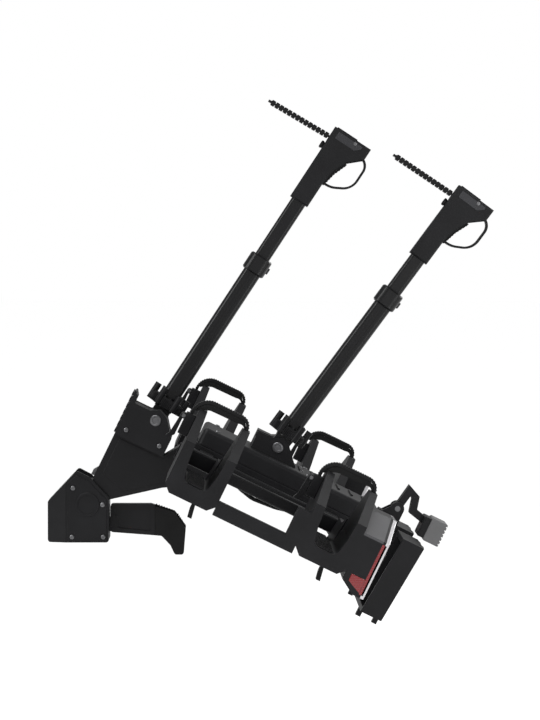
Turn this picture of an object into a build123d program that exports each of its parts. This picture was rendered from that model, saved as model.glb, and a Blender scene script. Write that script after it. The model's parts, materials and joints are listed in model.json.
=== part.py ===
from build123d import *
import os
from math import cos, radians, sin

# Platform rack for a towball, shown tilted back with its platform on the lower stop.
# Millimetres. Origin at the centre of the towball, +X rearward, +Y to the right, +Z up.
# The coupling stays level. All else is drawn level, from the tilt pin, and is then tilted with it.

os.makedirs("parts", exist_ok=True)

# Driving dimensions of the whole rack
ball_radius = 25.0              # half of a standard towball
pin_x = 19.5                    # tilt pin, behind the ball centre
pin_z = 42.0                    # tilt pin, above the ball centre
tilt_angle = 26.0               # slope of the platform when it is tilted back, degrees
rack_half_width = 650.0         # outer end of each wing
wing_hinge_y = 174.0            # fold axis of each wing, from the middle
wing_hinge_z = 168.0            # fold axis of each wing, above the tilt pin
front_tray_x = 146.0            # middle of the front wheel channel, behind the tilt pin
tray_pitch = 236.0              # from one wheel channel to the next
arm_pitch = 218.0               # from one arm to the next
arm_lane = 36.0                 # each arm stands this far off the middle, to pass the other
far_reach = 2 * rack_half_width     # farther than any piece of the rack

# Clearances
running_gap = 0.05              # pins in their bores
side_gap = 0.5                  # faces that slide past each other
free_gap = 1.0                  # moving pieces that only pass
overrun = 5.0                   # how far a cutting shape reaches past what it cuts

placed = Pos(pin_x, 0, pin_z) * Rot(0, tilt_angle, 0)


def block(x, y, z):
    """A box from its two limits along each axis."""
    size = Box(x[1] - x[0], y[1] - y[0], z[1] - z[0])
    return Pos((x[0] + x[1]) / 2, (y[0] + y[1]) / 2, (z[0] + z[1]) / 2) * size


def soft_block(x, y, z, radius):
    """A box with all its edges rounded."""
    body = block(x, y, z)
    return fillet(body.edges(), radius)


def plate(points, y, radius=0):
    """An outline in X and Z, with its corners rounded, drawn out between two limits of Y."""
    face = make_face(Polyline(*points, close=True))
    if radius > 0:
        face = fillet(face.vertices(), radius)
    return Pos(0, y[1], 0) * extrude(Plane.XZ * face, amount=y[1] - y[0])


def across(points, x, radius=0):
    """An outline in Y and Z, with its corners rounded, drawn out between two limits of X."""
    face = make_face(Polyline(*points, close=True))
    if radius > 0:
        face = fillet(face.vertices(), radius)
    return Pos(x[0], 0, 0) * extrude(Plane.YZ * face, amount=x[1] - x[0])


def rod_y(x, z, radius, y):
    """A round bar along Y."""
    return Pos(x, (y[0] + y[1]) / 2, z) * Rot(90, 0, 0) * Cylinder(radius, y[1] - y[0])


def rod_x(y, z, radius, x):
    """A round bar along X."""
    return Pos((x[0] + x[1]) / 2, y, z) * Rot(0, 90, 0) * Cylinder(radius, x[1] - x[0])


def rod_z(x, y, radius, z):
    """A round bar along Z."""
    return Pos(x, y, (z[0] + z[1]) / 2) * Cylinder(radius, z[1] - z[0])


def save(shape, node):
    export_step(shape, "parts/" + node + ".step")


def save_tilted(shape, node):
    save(placed * shape, node)


def mirrored(shape):
    """The same piece for the other wing."""
    return mirror(shape, about=Plane.XZ)


# Coupling on the towball
head_half = 50.0                # half of the coupling's width
head_front = -52.0
head_rear = 58.0
head_bottom = -26.0
head_shoulder = 47.0            # where the slope of the nose starts
head_top_x = 1.0
head_top_z = 103.0
cheek_top_x = 24.0
cheek_top_z = 91.0
cheek_rear_z = 55.0
head_round = 5.0
ear_in = 30.0                   # inner face of each ear of the neck
ear_out = 40.0                  # outer face of each ear of the neck
ear_radius = 33.0
neck_sweep_radius = 44.0        # the neck's bridge passes outside this
tilt_travel = 30.0              # degrees from the lower stop to the driving position
neck_low_angle = 38.0           # the neck's lower and upper edges seen from the pin, degrees, level
neck_high_angle = 106.0
sweep_spare = 4.0               # degrees of free space before and after the neck's sweep
tilt_pin_radius = 9.0
cap_radius = 22.0
cap_rim = 4.5
cap_depth = 3.0
cap_dish = 1.5

nose_rear = -20.0               # the nose narrows ahead of this
nose_half = 36.0
latch_half = 10.0               # half of the latch hook's width
notch_front = -16.0             # notch in the top of the housing, for the hook's nose
notch_bottom = 82.0

lever_pin_x = 46.0
lever_pin_z = 4.0
lever_pin_radius = 5.0
lever_half = 13.0
lever_hub = 11.0
lever_roof = 24.0
lever_top = 41.0
lever_root = 60.0
lever_root_low = -10.0
lever_bend_x = 133.0
lever_bend_z = 35.0
lever_rear = 196.0
lever_tip_x = 184.0
lever_tip_z = -51.0
lever_neck_x = 152.0
lever_palm_z = -17.0
lever_round = 5.0
lever_dish = 3.0                # hollow in each side of the lever
lever_rim = 8.0
cam_radius = 4.0
grip_half = 16.0
grip_front = 140.0
grip_rib = 1.5
ball_clearance = 0.1
cup_radius = ball_radius + ball_clearance
cup_wall = 4.0
cup_bottom = -20.0
cup_outer = cup_radius + cup_wall
jaw_half = 12.0
jaw_rear = 30.5
jaw_top = 14.0
cam_gap = 0.3


def neck_sweep(y, spare):
    """The space that the neck passes through, as seen from the pin."""
    low = radians(neck_low_angle - tilt_angle - spare)
    high = radians(neck_high_angle - tilt_angle + tilt_travel + spare)
    middle = (low + high) / 2
    ends = [(pin_x + far_reach * cos(a), pin_z + far_reach * sin(a)) for a in (low, middle, high)]
    return plate([(pin_x, pin_z)] + ends, y)


def coupling_housing():
    outline = [
        (head_front, head_bottom),
        (head_rear, head_bottom),
        (head_rear, cheek_rear_z),
        (cheek_top_x, cheek_top_z),
        (head_top_x, head_top_z),
        (head_front, head_shoulder),
    ]
    body = plate(outline, (-head_half, head_half), head_round)
    for side in (-1, 1):
        corner = Polyline(
            (nose_rear, side * head_half),
            (head_front - overrun, side * (nose_half - overrun / 2)),
            (head_front - overrun, side * (head_half + overrun)),
            (nose_rear, side * (head_half + overrun)),
            close=True,
        )
        low = head_bottom - overrun
        body -= Pos(0, 0, low) * extrude(make_face(corner), amount=far_reach, dir=(0, 0, 1))
    gap = ear_out + side_gap
    sweep = neck_sweep((-gap, gap), sweep_spare)
    sweep -= rod_y(pin_x, pin_z, neck_sweep_radius, (-gap - overrun, gap + overrun))
    body -= sweep
    for side in (-1, 1):
        y = sorted((side * (ear_in - side_gap), side * gap))
        body -= rod_y(pin_x, pin_z, ear_radius + free_gap, y)
        body -= neck_sweep(y, sweep_spare)
    body -= rod_y(pin_x, pin_z, tilt_pin_radius, (-far_reach, far_reach))
    body -= rod_y(lever_pin_x, lever_pin_z, lever_pin_radius, (-far_reach, far_reach))
    # Room for the insert, the lever, the jaw and the hook
    body -= rod_z(0, 0, cup_outer, (head_bottom - overrun, 0))
    body -= Sphere(cup_outer)
    slot = (jaw_rear, head_rear + overrun)
    body -= block(slot, (-lever_half - side_gap, lever_half + side_gap), (head_bottom - overrun, lever_roof))
    jaw_room = jaw_half + side_gap
    body -= block((0, slot[1]), (-jaw_room, jaw_room), (cup_bottom, jaw_top + side_gap))
    notch = latch_half + free_gap
    body -= block((notch_front, head_top_x + overrun), (-notch, notch), (notch_bottom, far_reach))
    return body


def ball_cup():
    cup = rod_z(0, 0, cup_outer, (cup_bottom, 0)) + Sphere(cup_outer)
    cup -= block((-far_reach, far_reach), (-far_reach, far_reach), (-far_reach, cup_bottom))
    cup -= rod_z(0, 0, cup_radius, (cup_bottom - overrun, 0))
    cup -= Sphere(cup_radius)
    gap = jaw_half + side_gap
    cup -= block((0, far_reach), (-gap, gap), (cup_bottom - overrun, jaw_top + side_gap))
    return cup


def clamp_jaw():
    jaw = block((0, jaw_rear), (-jaw_half, jaw_half), (cup_bottom + side_gap, jaw_top))
    jaw -= rod_z(0, 0, cup_radius, (-far_reach, 0))
    jaw -= Sphere(cup_radius)
    return jaw


def tilt_pin():
    """The pivot of the platform, with a dished cap on each end."""
    pin = rod_y(pin_x, pin_z, tilt_pin_radius, (-head_half - cap_dish, head_half + cap_dish))
    for side in (-1, 1):
        inner = side * head_half
        y = sorted((inner, inner + side * cap_depth))
        cap = rod_y(pin_x, pin_z, cap_radius, y)
        cap = chamfer(cap.faces().sort_by(Axis.Y)[-1 if side > 0 else 0].edges(), cap_dish / 2)
        dish = sorted((inner + side * (cap_depth - cap_dish), inner + side * (cap_depth + overrun)))
        pin += cap - rod_y(pin_x, pin_z, cap_radius - cap_rim, dish)
    return pin


def lever_outline(front):
    """The lever's side view, from the given X to its tip."""
    return [
        (front, lever_root_low),
        (lever_neck_x, lever_palm_z),
        (lever_tip_x - 2 * lever_rim, 2 * lever_palm_z),
        (lever_tip_x - lever_rim, lever_tip_z),
        (lever_tip_x + lever_rim, lever_tip_z),
        (lever_rear, 0),
        (lever_tip_x - lever_rim, lever_bend_z - lever_rim),
        (lever_bend_x, lever_top),
        (front, lever_top),
    ]


def clamp_lever():
    arm = plate(lever_outline(lever_root), (-lever_half, lever_half), lever_round)
    arm -= block((grip_front, far_reach), (-far_reach, far_reach), (-far_reach, far_reach))
    for side in (-1, 1):
        y = sorted((side * (lever_half - lever_dish), side * (lever_half + overrun)))
        x = (lever_root + lever_rim, grip_front - lever_rim)
        arm -= plate([
            (x[0], lever_root_low + lever_rim),
            (x[1], lever_palm_z + lever_rim),
            (x[1], lever_top - lever_rim),
            (x[0], lever_top - lever_rim),
        ], y, lever_dish)
    root = [
        (lever_pin_x, lever_pin_z - lever_hub),
        (lever_root + lever_round + lever_rim, lever_root_low),
        (lever_root + lever_round + lever_rim, lever_roof - lever_round),
        (lever_pin_x, lever_pin_z + lever_hub),
    ]
    arm += plate(root, (-lever_half, lever_half))
    arm += rod_y(lever_pin_x, lever_pin_z, lever_hub, (-lever_half, lever_half))
    cam_x = jaw_rear + cam_gap + cam_radius
    arm += rod_y(cam_x, lever_pin_z, cam_radius, (-lever_half, lever_half))
    arm -= rod_y(lever_pin_x, lever_pin_z, lever_pin_radius + running_gap, (-far_reach, far_reach))
    return arm


def lever_grip():
    grip = plate(lever_outline(lever_root), (-grip_half, grip_half), lever_round)
    grip -= block((-far_reach, grip_front), (-far_reach, far_reach), (-far_reach, far_reach))
    sides = grip.faces().sort_by(Axis.Y)
    return chamfer(sides[0].edges() + sides[-1].edges(), grip_rib)


save(coupling_housing(), "coupling_housing")
save(ball_cup(), "ball_cup")
save(clamp_jaw(), "clamp_jaw")
save(tilt_pin(), "tilt_pin")
save(rod_y(lever_pin_x, lever_pin_z, lever_pin_radius, (-head_half, head_half)), "lever_pin")
save(clamp_lever(), "clamp_lever")
save(lever_grip(), "lever_grip")

# Platform frame, level, from the tilt pin
neck_half = ear_out
neck_wall = 10.0
neck_front = -12.0
neck_top = 137.0
bridge_z = 50.0                 # underside of the neck's bridge, at its front
bridge_x = 52.0
belly_x = 107.0                 # lowest edge of the neck, where its slope eases
belly_z = 85.0
neck_rear = 215.0
rail_bottom = 151.0
rail_top = 191.0
rail_wall = 32.0
rail_out = 128.0                # outer face of each side rail
rail_front = 118.0
rail_rear = 470.0
rail_round = 3.0
cover_top = 222.0
cover_front = 128.0
cover_rear = 476.0
cover_wall = 3.0
cover_round = 8.0
cover_rib = 4.0
cover_rib_count = 6
cross_depth = 30.0
cross_bottom = 156.0
cross_top = 186.0
cross_front = 215.0
cross_middle = 320.0
cross_rear = 436.0
hinge_pin_radius = 6.0
hinge_lug_long = 26.0
hinge_lug_radius = 15.0
hinge_front_x = 150.0
hinge_rear_x = 394.0
hook_front = -18.0
hook_low = 50.0
hook_pin_x = -3.0
hook_pin_z = 92.0
hook_pin_radius = 3.0
hook_body = 7.0
hook_nose = 9.0

# Arm feet
arm_pin_front_x = 44.0
arm_pin_front_z = 190.0
arm_pin_rear_z = 242.0
arm_pin_rear_x = arm_pin_front_x + arm_pitch
foot_half = 18.0                # half of the arm foot's width
cheek_rise = 20.0               # the housing beside an arm reaches this far above its pin
cheek_fore = 12.0               # and this far above it at its front end
cheek_aft = -18.0               # and at its rear end
foot_room = 17.0                # space around the arm foot, from the pin
arm_pin_radius = 6.0
base_rear = 84.0
base_half = 62.0
shield_top = 222.0
shield_thick = 9.0
shield_rib = 3.0
shield_rib_count = 7
rear_base_length = 88.0


def tilt_neck():
    profile = [
        (neck_front, bridge_z),
        (bridge_x, bridge_z - (belly_z - bridge_z) / 4),
        (belly_x, belly_z),
        (neck_rear, rail_bottom),
        (neck_rear, rail_top - rail_round),
        (rail_front, rail_top - rail_round),
        (base_rear, neck_top),
        (neck_front, neck_top),
    ]
    body = plate(profile, (-neck_half, neck_half))
    hollow = [
        (neck_front + neck_wall, bridge_z - overrun),
        (belly_x, bridge_z - overrun),
        (neck_rear + overrun, rail_bottom - overrun),
        (neck_rear + overrun, rail_top - neck_wall - rail_round),
        (rail_front, rail_top - neck_wall - rail_round),
        (base_rear, neck_top - neck_wall),
        (neck_front + neck_wall, neck_top - neck_wall),
    ]
    body -= plate(hollow, (-ear_in, ear_in))
    ear = [
        (ear_radius * cos(radians(neck_high_angle)), ear_radius * sin(radians(neck_high_angle))),
        (neck_front, bridge_z + neck_wall),
        (belly_x, belly_z + neck_wall),
        (belly_x, belly_z),
        (ear_radius * cos(radians(neck_low_angle)), ear_radius * sin(radians(neck_low_angle))),
    ]
    for side in (-1, 1):
        y = sorted((side * ear_in, side * ear_out))
        body += rod_y(0, 0, ear_radius, y) + plate(ear, y)
    body -= rod_y(0, 0, tilt_pin_radius + running_gap, (-far_reach, far_reach))
    slot = latch_half + side_gap
    low = (bridge_z - overrun, hook_pin_z + hook_nose)
    body -= block((neck_front - overrun, neck_front + neck_wall + overrun), (-slot, slot), low)
    body -= rod_y(hook_pin_x, hook_pin_z, hook_pin_radius, (-ear_in, ear_in))
    return body


def latch_hook():
    profile = [
        (hook_pin_x - hook_body, hook_pin_z + hook_body),
        (hook_pin_x + hook_body, hook_pin_z + hook_body),
        (hook_pin_x + hook_body, hook_pin_z - hook_body),
        (hook_front + 2 * hook_nose, hook_low + 2 * hook_nose),
        (hook_front + hook_nose, hook_low),
        (hook_front, hook_low),
        (hook_front, hook_low + hook_nose),
        (neck_front, hook_low + 2 * hook_nose),
        (neck_front, hook_pin_z - hook_body),
    ]
    hook = plate(profile, (-latch_half, latch_half))
    hook -= rod_y(hook_pin_x, hook_pin_z, hook_pin_radius + running_gap, (-far_reach, far_reach))
    return hook


def hinge_lugs(x):
    """Limits along X of the platform's own lug at one wing hinge."""
    return (x - hinge_lug_long / 2, x + hinge_lug_long / 2)


def platform_frame():
    """The welded frame: two side rails, the bars between them and the lugs of the wing hinges."""
    inner = rail_out - rail_wall
    bars = []
    for x in (cross_front, cross_middle, cross_rear):
        y = (-inner - overrun, inner + overrun)
        bars.append(block((x, x + cross_depth), y, (cross_bottom, cross_top)))
    frame = bars[0] + bars[1] + bars[2]
    for side in (-1, 1):
        y = sorted((side * inner, side * rail_out))
        rail = block((rail_front, rail_rear), y, (rail_bottom, rail_top))
        frame += fillet(rail.edges().filter_by(Axis.X), rail_round)
        for x in (hinge_front_x, hinge_rear_x):
            limits = hinge_lugs(x)
            half = hinge_lug_radius
            y = sorted((side * (rail_out - overrun), side * wing_hinge_y))
            lug = rod_x(side * wing_hinge_y, wing_hinge_z, half, limits)
            lug += block(limits, y, (wing_hinge_z - half, wing_hinge_z + half))
            lug -= rod_x(side * wing_hinge_y, wing_hinge_z, hinge_pin_radius, (-far_reach, far_reach))
            frame += lug
    return frame


def beam_cover():
    """The cover over the middle of the platform, with ribs along its top at the rear."""
    cover = block((cover_front, cover_rear), (-rail_out, rail_out), (rail_top, cover_top))
    edges = cover.edges().filter_by(lambda e: e.center().Z > rail_top + overrun)
    cover = fillet(edges, cover_round)
    inner = rail_out - cover_wall
    hollow = block(
        (cover_front + cover_wall, cover_rear - cover_wall),
        (-inner, inner),
        (rail_top - overrun, cover_top - cover_wall),
    )
    hollow = fillet(hollow.edges().filter_by(lambda e: e.center().Z > rail_top + overrun), cover_round)
    cover -= hollow
    first = arm_pin_rear_x + rear_base_length / 2 + cover_round
    step = (cover_rear - cover_round - first) / cover_rib_count
    for i in range(cover_rib_count):
        x = first + i * step
        z = (cover_top - cover_rib, cover_top + cover_wall)
        cover += block((x, x + cover_rib), (-rail_out / 2, rail_out / 2), z) - hollow
    return cover


def arm_housing(pin_at_x, pin_at_z, lane, front, rear, low):
    """The housing that carries the pin of one arm, low enough for the arm's nut to swing over it."""
    middle = (pin_at_x - foot_room, pin_at_x + foot_room)
    housing = plate([
        (front, low),
        (rear, low),
        (rear, pin_at_z + cheek_aft),
        (middle[1], pin_at_z + cheek_fore),
        (pin_at_x, pin_at_z + cheek_rise),
        (middle[0], pin_at_z + cheek_fore),
        (front, pin_at_z + cheek_fore),
    ], (-base_half, base_half))
    foot = (lane - foot_half - side_gap, lane + foot_half + side_gap)
    housing -= block((front - overrun, rear + overrun), foot, (pin_at_z, far_reach))
    housing -= block((pin_at_x, rear + overrun), foot, (pin_at_z - foot_room, far_reach))
    housing -= rod_y(pin_at_x, pin_at_z, foot_room, foot)
    return housing - rod_y(pin_at_x, pin_at_z, arm_pin_radius, (-far_reach, far_reach))


def arm_base_front():
    body = arm_housing(arm_pin_front_x, arm_pin_front_z, arm_lane, neck_front, base_rear, neck_top)
    shield = plate([
        (neck_front, neck_top - overrun),
        (neck_front + shield_thick, neck_top),
        (neck_front + shield_thick, shield_top - shield_thick),
        (neck_front + shield_thick / 3, shield_top),
        (neck_front, shield_top),
    ], (-base_half, base_half))
    body += shield & block((-far_reach, far_reach), (-base_half, base_half), (neck_top, far_reach))
    step = (shield_top - neck_top) / shield_rib_count
    for i in range(shield_rib_count):
        z = neck_top + (i + 1 / 4) * step
        body += block((neck_front - shield_rib, neck_front), (-base_half, base_half), (z, z + step / 2))
    return body


def arm_base_rear():
    start = arm_pin_rear_x - rear_base_length / 2
    end = arm_pin_rear_x + rear_base_length / 2
    return arm_housing(arm_pin_rear_x, arm_pin_rear_z, -arm_lane, start, end, cover_top)


save_tilted(tilt_neck(), "tilt_neck")
save_tilted(latch_hook(), "latch_hook")
save_tilted(platform_frame(), "platform_frame")
save_tilted(beam_cover(), "beam_cover")
save_tilted(arm_base_front(), "arm_base_front")
save_tilted(arm_base_rear(), "arm_base_rear")

# Rear of the platform
plate_front = 508.0             # lower front edge of the number plate holder
plate_depth = 40.0
plate_low = 58.0
plate_high = 204.0
plate_lean = 12.0               # the holder's top stands this far behind its foot
plate_half = 268.0
plate_rim = 8.0
plate_skin = 4.0
plate_notch_half = 62.0
plate_notch = 50.0
plate_foot = 14.0
plate_foot_half = 9.0
plate_foot_y = 190.0
bracket_half = 12.0
bracket_y = 112.0
bracket_low = 158.0
bracket_high = 182.0
plate_mount_y = 240.0
plate_mount_z = 160.0
plate_screw_radius = 3.0

pedal_pin_x = 506.0
pedal_pin_z = 236.0
pedal_pin_radius = 5.0
pedal_post_half = 30.0
pedal_post_wall = 8.0
pedal_hub = 12.0
pedal_half = 18.0
pedal_top = 281.0
pedal_reach = 534.0
pedal_pad_front = 556.0
pedal_pad_rear = 600.0
pedal_pad_low = 209.0
pedal_pad_high = 250.0
pedal_pad_half = 42.0
pedal_bar = 13.0
pedal_pad_rib = 2.5
pedal_pad_rib_count = 6
pedal_round = 3.0

cable_radius = 3.5
cable_y = -70.0
cable_start_bend = 5.0          # corner radii along the lead
cable_first_bend = 40.0
cable_second_bend = 60.0
cable_end_bend = 3.5

screw_radius = 6.0
screw_head = 3.5
screw_socket = 3.0


def plate_holder():
    """A tray for the number plate, open towards the rear, on two arms from the side rails."""
    outline = [
        (plate_front, plate_low),
        (plate_front + plate_depth, plate_low),
        (plate_front + plate_depth + plate_lean, plate_high),
        (plate_front + plate_lean, plate_high),
    ]
    holder = plate(outline, (-plate_half, plate_half))
    recess = [
        (plate_front + plate_depth - plate_rim, plate_low + plate_rim),
        (plate_front + plate_depth + plate_lean, plate_low + plate_rim),
        (plate_front + plate_depth + 2 * plate_lean, plate_high - plate_rim),
        (plate_front + plate_depth - plate_rim + plate_lean, plate_high - plate_rim),
    ]
    holder -= plate(recess, (plate_rim - plate_half, plate_half - plate_rim))
    back = [
        (plate_front - plate_rim, plate_low + plate_rim),
        (plate_front + plate_depth - plate_rim - plate_skin, plate_low + plate_rim),
        (plate_front + plate_depth - plate_rim - plate_skin + plate_lean, plate_high - plate_rim),
        (plate_front - plate_rim + plate_lean, plate_high - plate_rim),
    ]
    holder -= plate(back, (plate_rim - plate_half, -bracket_y - 2 * bracket_half))
    holder -= plate(back, (bracket_y + 2 * bracket_half, plate_half - plate_rim))
    holder -= plate(back, (2 * bracket_half - bracket_y, bracket_y - 2 * bracket_half))
    notch = (plate_high - plate_notch, far_reach)
    holder -= block((plate_front - overrun, 2 * plate_front), (-plate_notch_half, plate_notch_half), notch)
    for side in (-1, 1):
        y = sorted((side * (bracket_y - bracket_half), side * (bracket_y + bracket_half)))
        holder += plate([
            (rail_rear, bracket_low),
            (plate_front + 2 * plate_rim, bracket_low),
            (plate_front + 2 * plate_rim, bracket_high),
            (rail_rear, bracket_high),
        ], y)
        y = sorted((side * (plate_foot_y - plate_foot_half), side * (plate_foot_y + plate_foot_half)))
        for x in (plate_front, plate_front + plate_depth - plate_foot_half):
            holder += block((x, x + plate_foot_half), y, (plate_low - plate_foot, plate_low))
        hole_y = side * plate_mount_y
        holder -= rod_x(hole_y, plate_mount_z, plate_screw_radius, (plate_front, 2 * plate_front))
    return holder


def pedal_post():
    """Two cheeks behind the platform that carry the foot pedal's pin."""
    sole = plate([
        (cover_rear, rail_top - pedal_post_wall),
        (pedal_pin_x + pedal_hub, rail_top - pedal_post_wall),
        (pedal_pin_x + pedal_hub, rail_top),
        (cover_rear, rail_top),
    ], (-pedal_post_half, pedal_post_half))
    x = (cover_rear, cover_rear + pedal_post_wall)
    z = (rail_top - pedal_post_wall, cover_top)
    post = sole + block(x, (-pedal_post_half, pedal_post_half), z)
    inner = pedal_half + side_gap
    for side in (-1, 1):
        y = sorted((side * inner, side * (inner + pedal_post_wall)))
        post += rod_y(pedal_pin_x, pedal_pin_z, pedal_hub, y)
        post += plate([
            (cover_rear, rail_top - pedal_post_wall),
            (pedal_pin_x + pedal_hub, rail_top - pedal_post_wall),
            (pedal_pin_x + pedal_hub, pedal_pin_z),
            (pedal_pin_x - pedal_hub, pedal_pin_z),
            (cover_rear, cover_top - pedal_post_wall),
        ], y)
    return post - rod_y(pedal_pin_x, pedal_pin_z, pedal_pin_radius, (-far_reach, far_reach))


def foot_pedal():
    half = pedal_bar / 2
    route = Polyline(
        (pedal_pin_x, pedal_pin_z),
        (pedal_pin_x + half, pedal_top - half),
        (pedal_reach - half, pedal_top - pedal_bar),
        (pedal_reach, pedal_pad_high - half),
        (pedal_pad_front + half, pedal_pad_high - pedal_bar),
    )
    bar = trace(route, pedal_bar)
    arm = Pos(0, pedal_half, 0) * extrude(Plane.XZ * bar, amount=2 * pedal_half)
    arm += rod_y(pedal_pin_x, pedal_pin_z, pedal_hub - free_gap, (-pedal_half, pedal_half))
    head = soft_block(
        (pedal_pad_front, pedal_pad_rear - pedal_bar),
        (-pedal_pad_half, pedal_pad_half),
        (pedal_pad_low, pedal_pad_high - pedal_round),
        pedal_round,
    )
    arm += head
    arm -= rod_y(pedal_pin_x, pedal_pin_z, pedal_pin_radius + running_gap, (-far_reach, far_reach))
    return arm


def pedal_pad():
    """The ribbed tread: a cap over the rear and top of the pedal."""
    tread = soft_block(
        (pedal_pad_front + pedal_bar, pedal_pad_rear),
        (-pedal_pad_half - pedal_round, pedal_pad_half + pedal_round),
        (pedal_pad_low - pedal_round, pedal_pad_high),
        pedal_round,
    )
    step = (pedal_pad_high - pedal_pad_low) / pedal_pad_rib_count
    for i in range(pedal_pad_rib_count):
        z = pedal_pad_low + i * step
        x = (pedal_pad_rear - pedal_pad_rib, pedal_pad_rear + overrun)
        tread -= block(x, (-far_reach, far_reach), (z, z + pedal_pad_rib))
    return tread - foot_pedal()


def lamp_cable():
    """The lead to the lamps, slack under the platform between two cross members."""
    start = cross_front + cross_depth / 2
    end = cross_middle + cross_depth / 2
    low = rail_bottom - 3 * cable_radius
    points = [
        (start, cable_y, cross_bottom),
        (start, cable_y, rail_bottom - cable_radius),
        (start + cross_depth, cable_y - cable_radius, low),
        (end - cross_depth, cable_y, low + cable_radius),
        (end, cable_y, rail_bottom),
        (end, cable_y, cross_bottom),
    ]
    bends = (cable_start_bend, cable_first_bend, cable_second_bend, cable_end_bend)
    route = FilletPolyline(*points, radius=bends)
    return sweep(Plane(route @ 0, z_dir=route % 0) * Circle(cable_radius), path=route)


def pivot_pins():
    """The pins of the two arms, of the foot pedal, of the latch hook and of the wing hinges."""
    pins = [
        rod_y(arm_pin_front_x, arm_pin_front_z, arm_pin_radius, (-base_half, base_half)),
        rod_y(arm_pin_rear_x, arm_pin_rear_z, arm_pin_radius, (-base_half, base_half)),
    ]
    reach = pedal_half + side_gap + pedal_post_wall
    pins.append(rod_y(pedal_pin_x, pedal_pin_z, pedal_pin_radius, (-reach, reach)))
    pins.append(rod_y(hook_pin_x, hook_pin_z, hook_pin_radius, (-ear_in, ear_in)))
    for side in (-1, 1):
        for x in (hinge_front_x, hinge_rear_x):
            limits = (x - hinge_lug_long, x + hinge_lug_long)
            pins.append(rod_x(side * wing_hinge_y, wing_hinge_z, hinge_pin_radius, limits))
    return Compound(pins)


def frame_screws():
    """Socket screws through the side rails into the cross members."""
    screws = []
    for side in (-1, 1):
        for x in (cross_front, cross_middle, cross_rear):
            y = sorted((side * rail_out, side * (rail_out + screw_head)))
            screw = rod_y(x + cross_depth / 2, (cross_bottom + cross_top) / 2, screw_radius, y)
            outer = side * (rail_out + screw_head)
            y = sorted((outer - side * screw_head / 2, outer + side * overrun))
            socket = Pos(x + cross_depth / 2, y[0], (cross_bottom + cross_top) / 2) * Rot(-90, 0, 0)
            screw -= socket * extrude(RegularPolygon(screw_socket, 6), amount=y[1] - y[0])
            screws.append(screw)
    return Compound(screws)


save_tilted(plate_holder(), "plate_holder")
save_tilted(pedal_post(), "pedal_post")
save_tilted(foot_pedal(), "foot_pedal")
save_tilted(pedal_pad(), "pedal_pad")
save_tilted(lamp_cable(), "lamp_cable")
save_tilted(pivot_pins(), "pivot_pins")
save_tilted(frame_screws(), "frame_screws")

# Wings: two wheel channels, an outer rail and a lamp each
tray_half = 46.0
tray_bottom = 124.0
tray_bevel = 12.0
tray_floor = 150.0              # inside of the channel, where a load stands
floor_half = 20.0
throat_half = 33.0              # inside of the channel at its top
pocket_start = 392.0            # the channel deepens into a pocket from here outward
wall_end = 214.0                # wall height at the outer end
wall_shoulder = 224.0
wall_peak = 264.0               # wall height beside the strap
peak_long = 46.0
run_wall = 200.0                # wall height of the run between pocket and hinge
run_start = 216.0
run_wall_start = 186.0
run_half = 34.0
run_floor = 146.0
run_bottom = 136.0
rail_long = 26.0
post_front = 313.0
post_top = 196.0
outer_rail_low = 122.0
outer_rail_high = 147.0
outer_rail_wide = 28.0
inner_rail_start = 192.0
brace_y = 360.0
brace_low = 162.0
brace_high = 182.0
knuckle_long = 12.0
knuckle_radius = 14.0

lamp_inner = 452.0
lamp_rear = 472.0
lamp_lens_thick = 9.0
lamp_low = 105.0
lamp_low_front = 121.0
lamp_high = 240.0
lamp_slope_y = 565.0
lamp_slope_z = 205.0
lamp_cover_thick = 4.0
lens_wrap_front = 438.0
lens_wrap_high = 136.0
lens_wrap_thick = 12.0
lens_margin = 5.0

strap_y = 512.0
strap_wide = 26.0
strap_thick = 5.0
strap_top = 284.0
strap_seat = 250.0              # the strap's far end sits this deep in the wall
strap_front_bend = 28.0         # corner radii of the strap, above the buckle and above the far wall
strap_rear_bend = 17.0
tray_wall_inset = 4.0
tail_y = 560.0
tail_drop = 28.0
tail_offset = 15.0
buckle_half = 18.0
buckle_low = 212.0
buckle_high = 250.0
buckle_deep = 17.0
buckle_pin_radius = 2.5
flap_thick = 5.0
flap_half = 13.0
flap_long = 40.0
flap_tip = 4.0


def outer_wall_line():
    """The top edge of a channel's walls, seen from the front, from the pocket outward."""
    middle = strap_y
    return [
        (pocket_start, run_wall),
        (middle - peak_long, wall_peak),
        (middle + peak_long / 2, wall_peak),
        (rack_half_width - peak_long / 2, wall_shoulder),
        (rack_half_width, wall_end),
    ]


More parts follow.
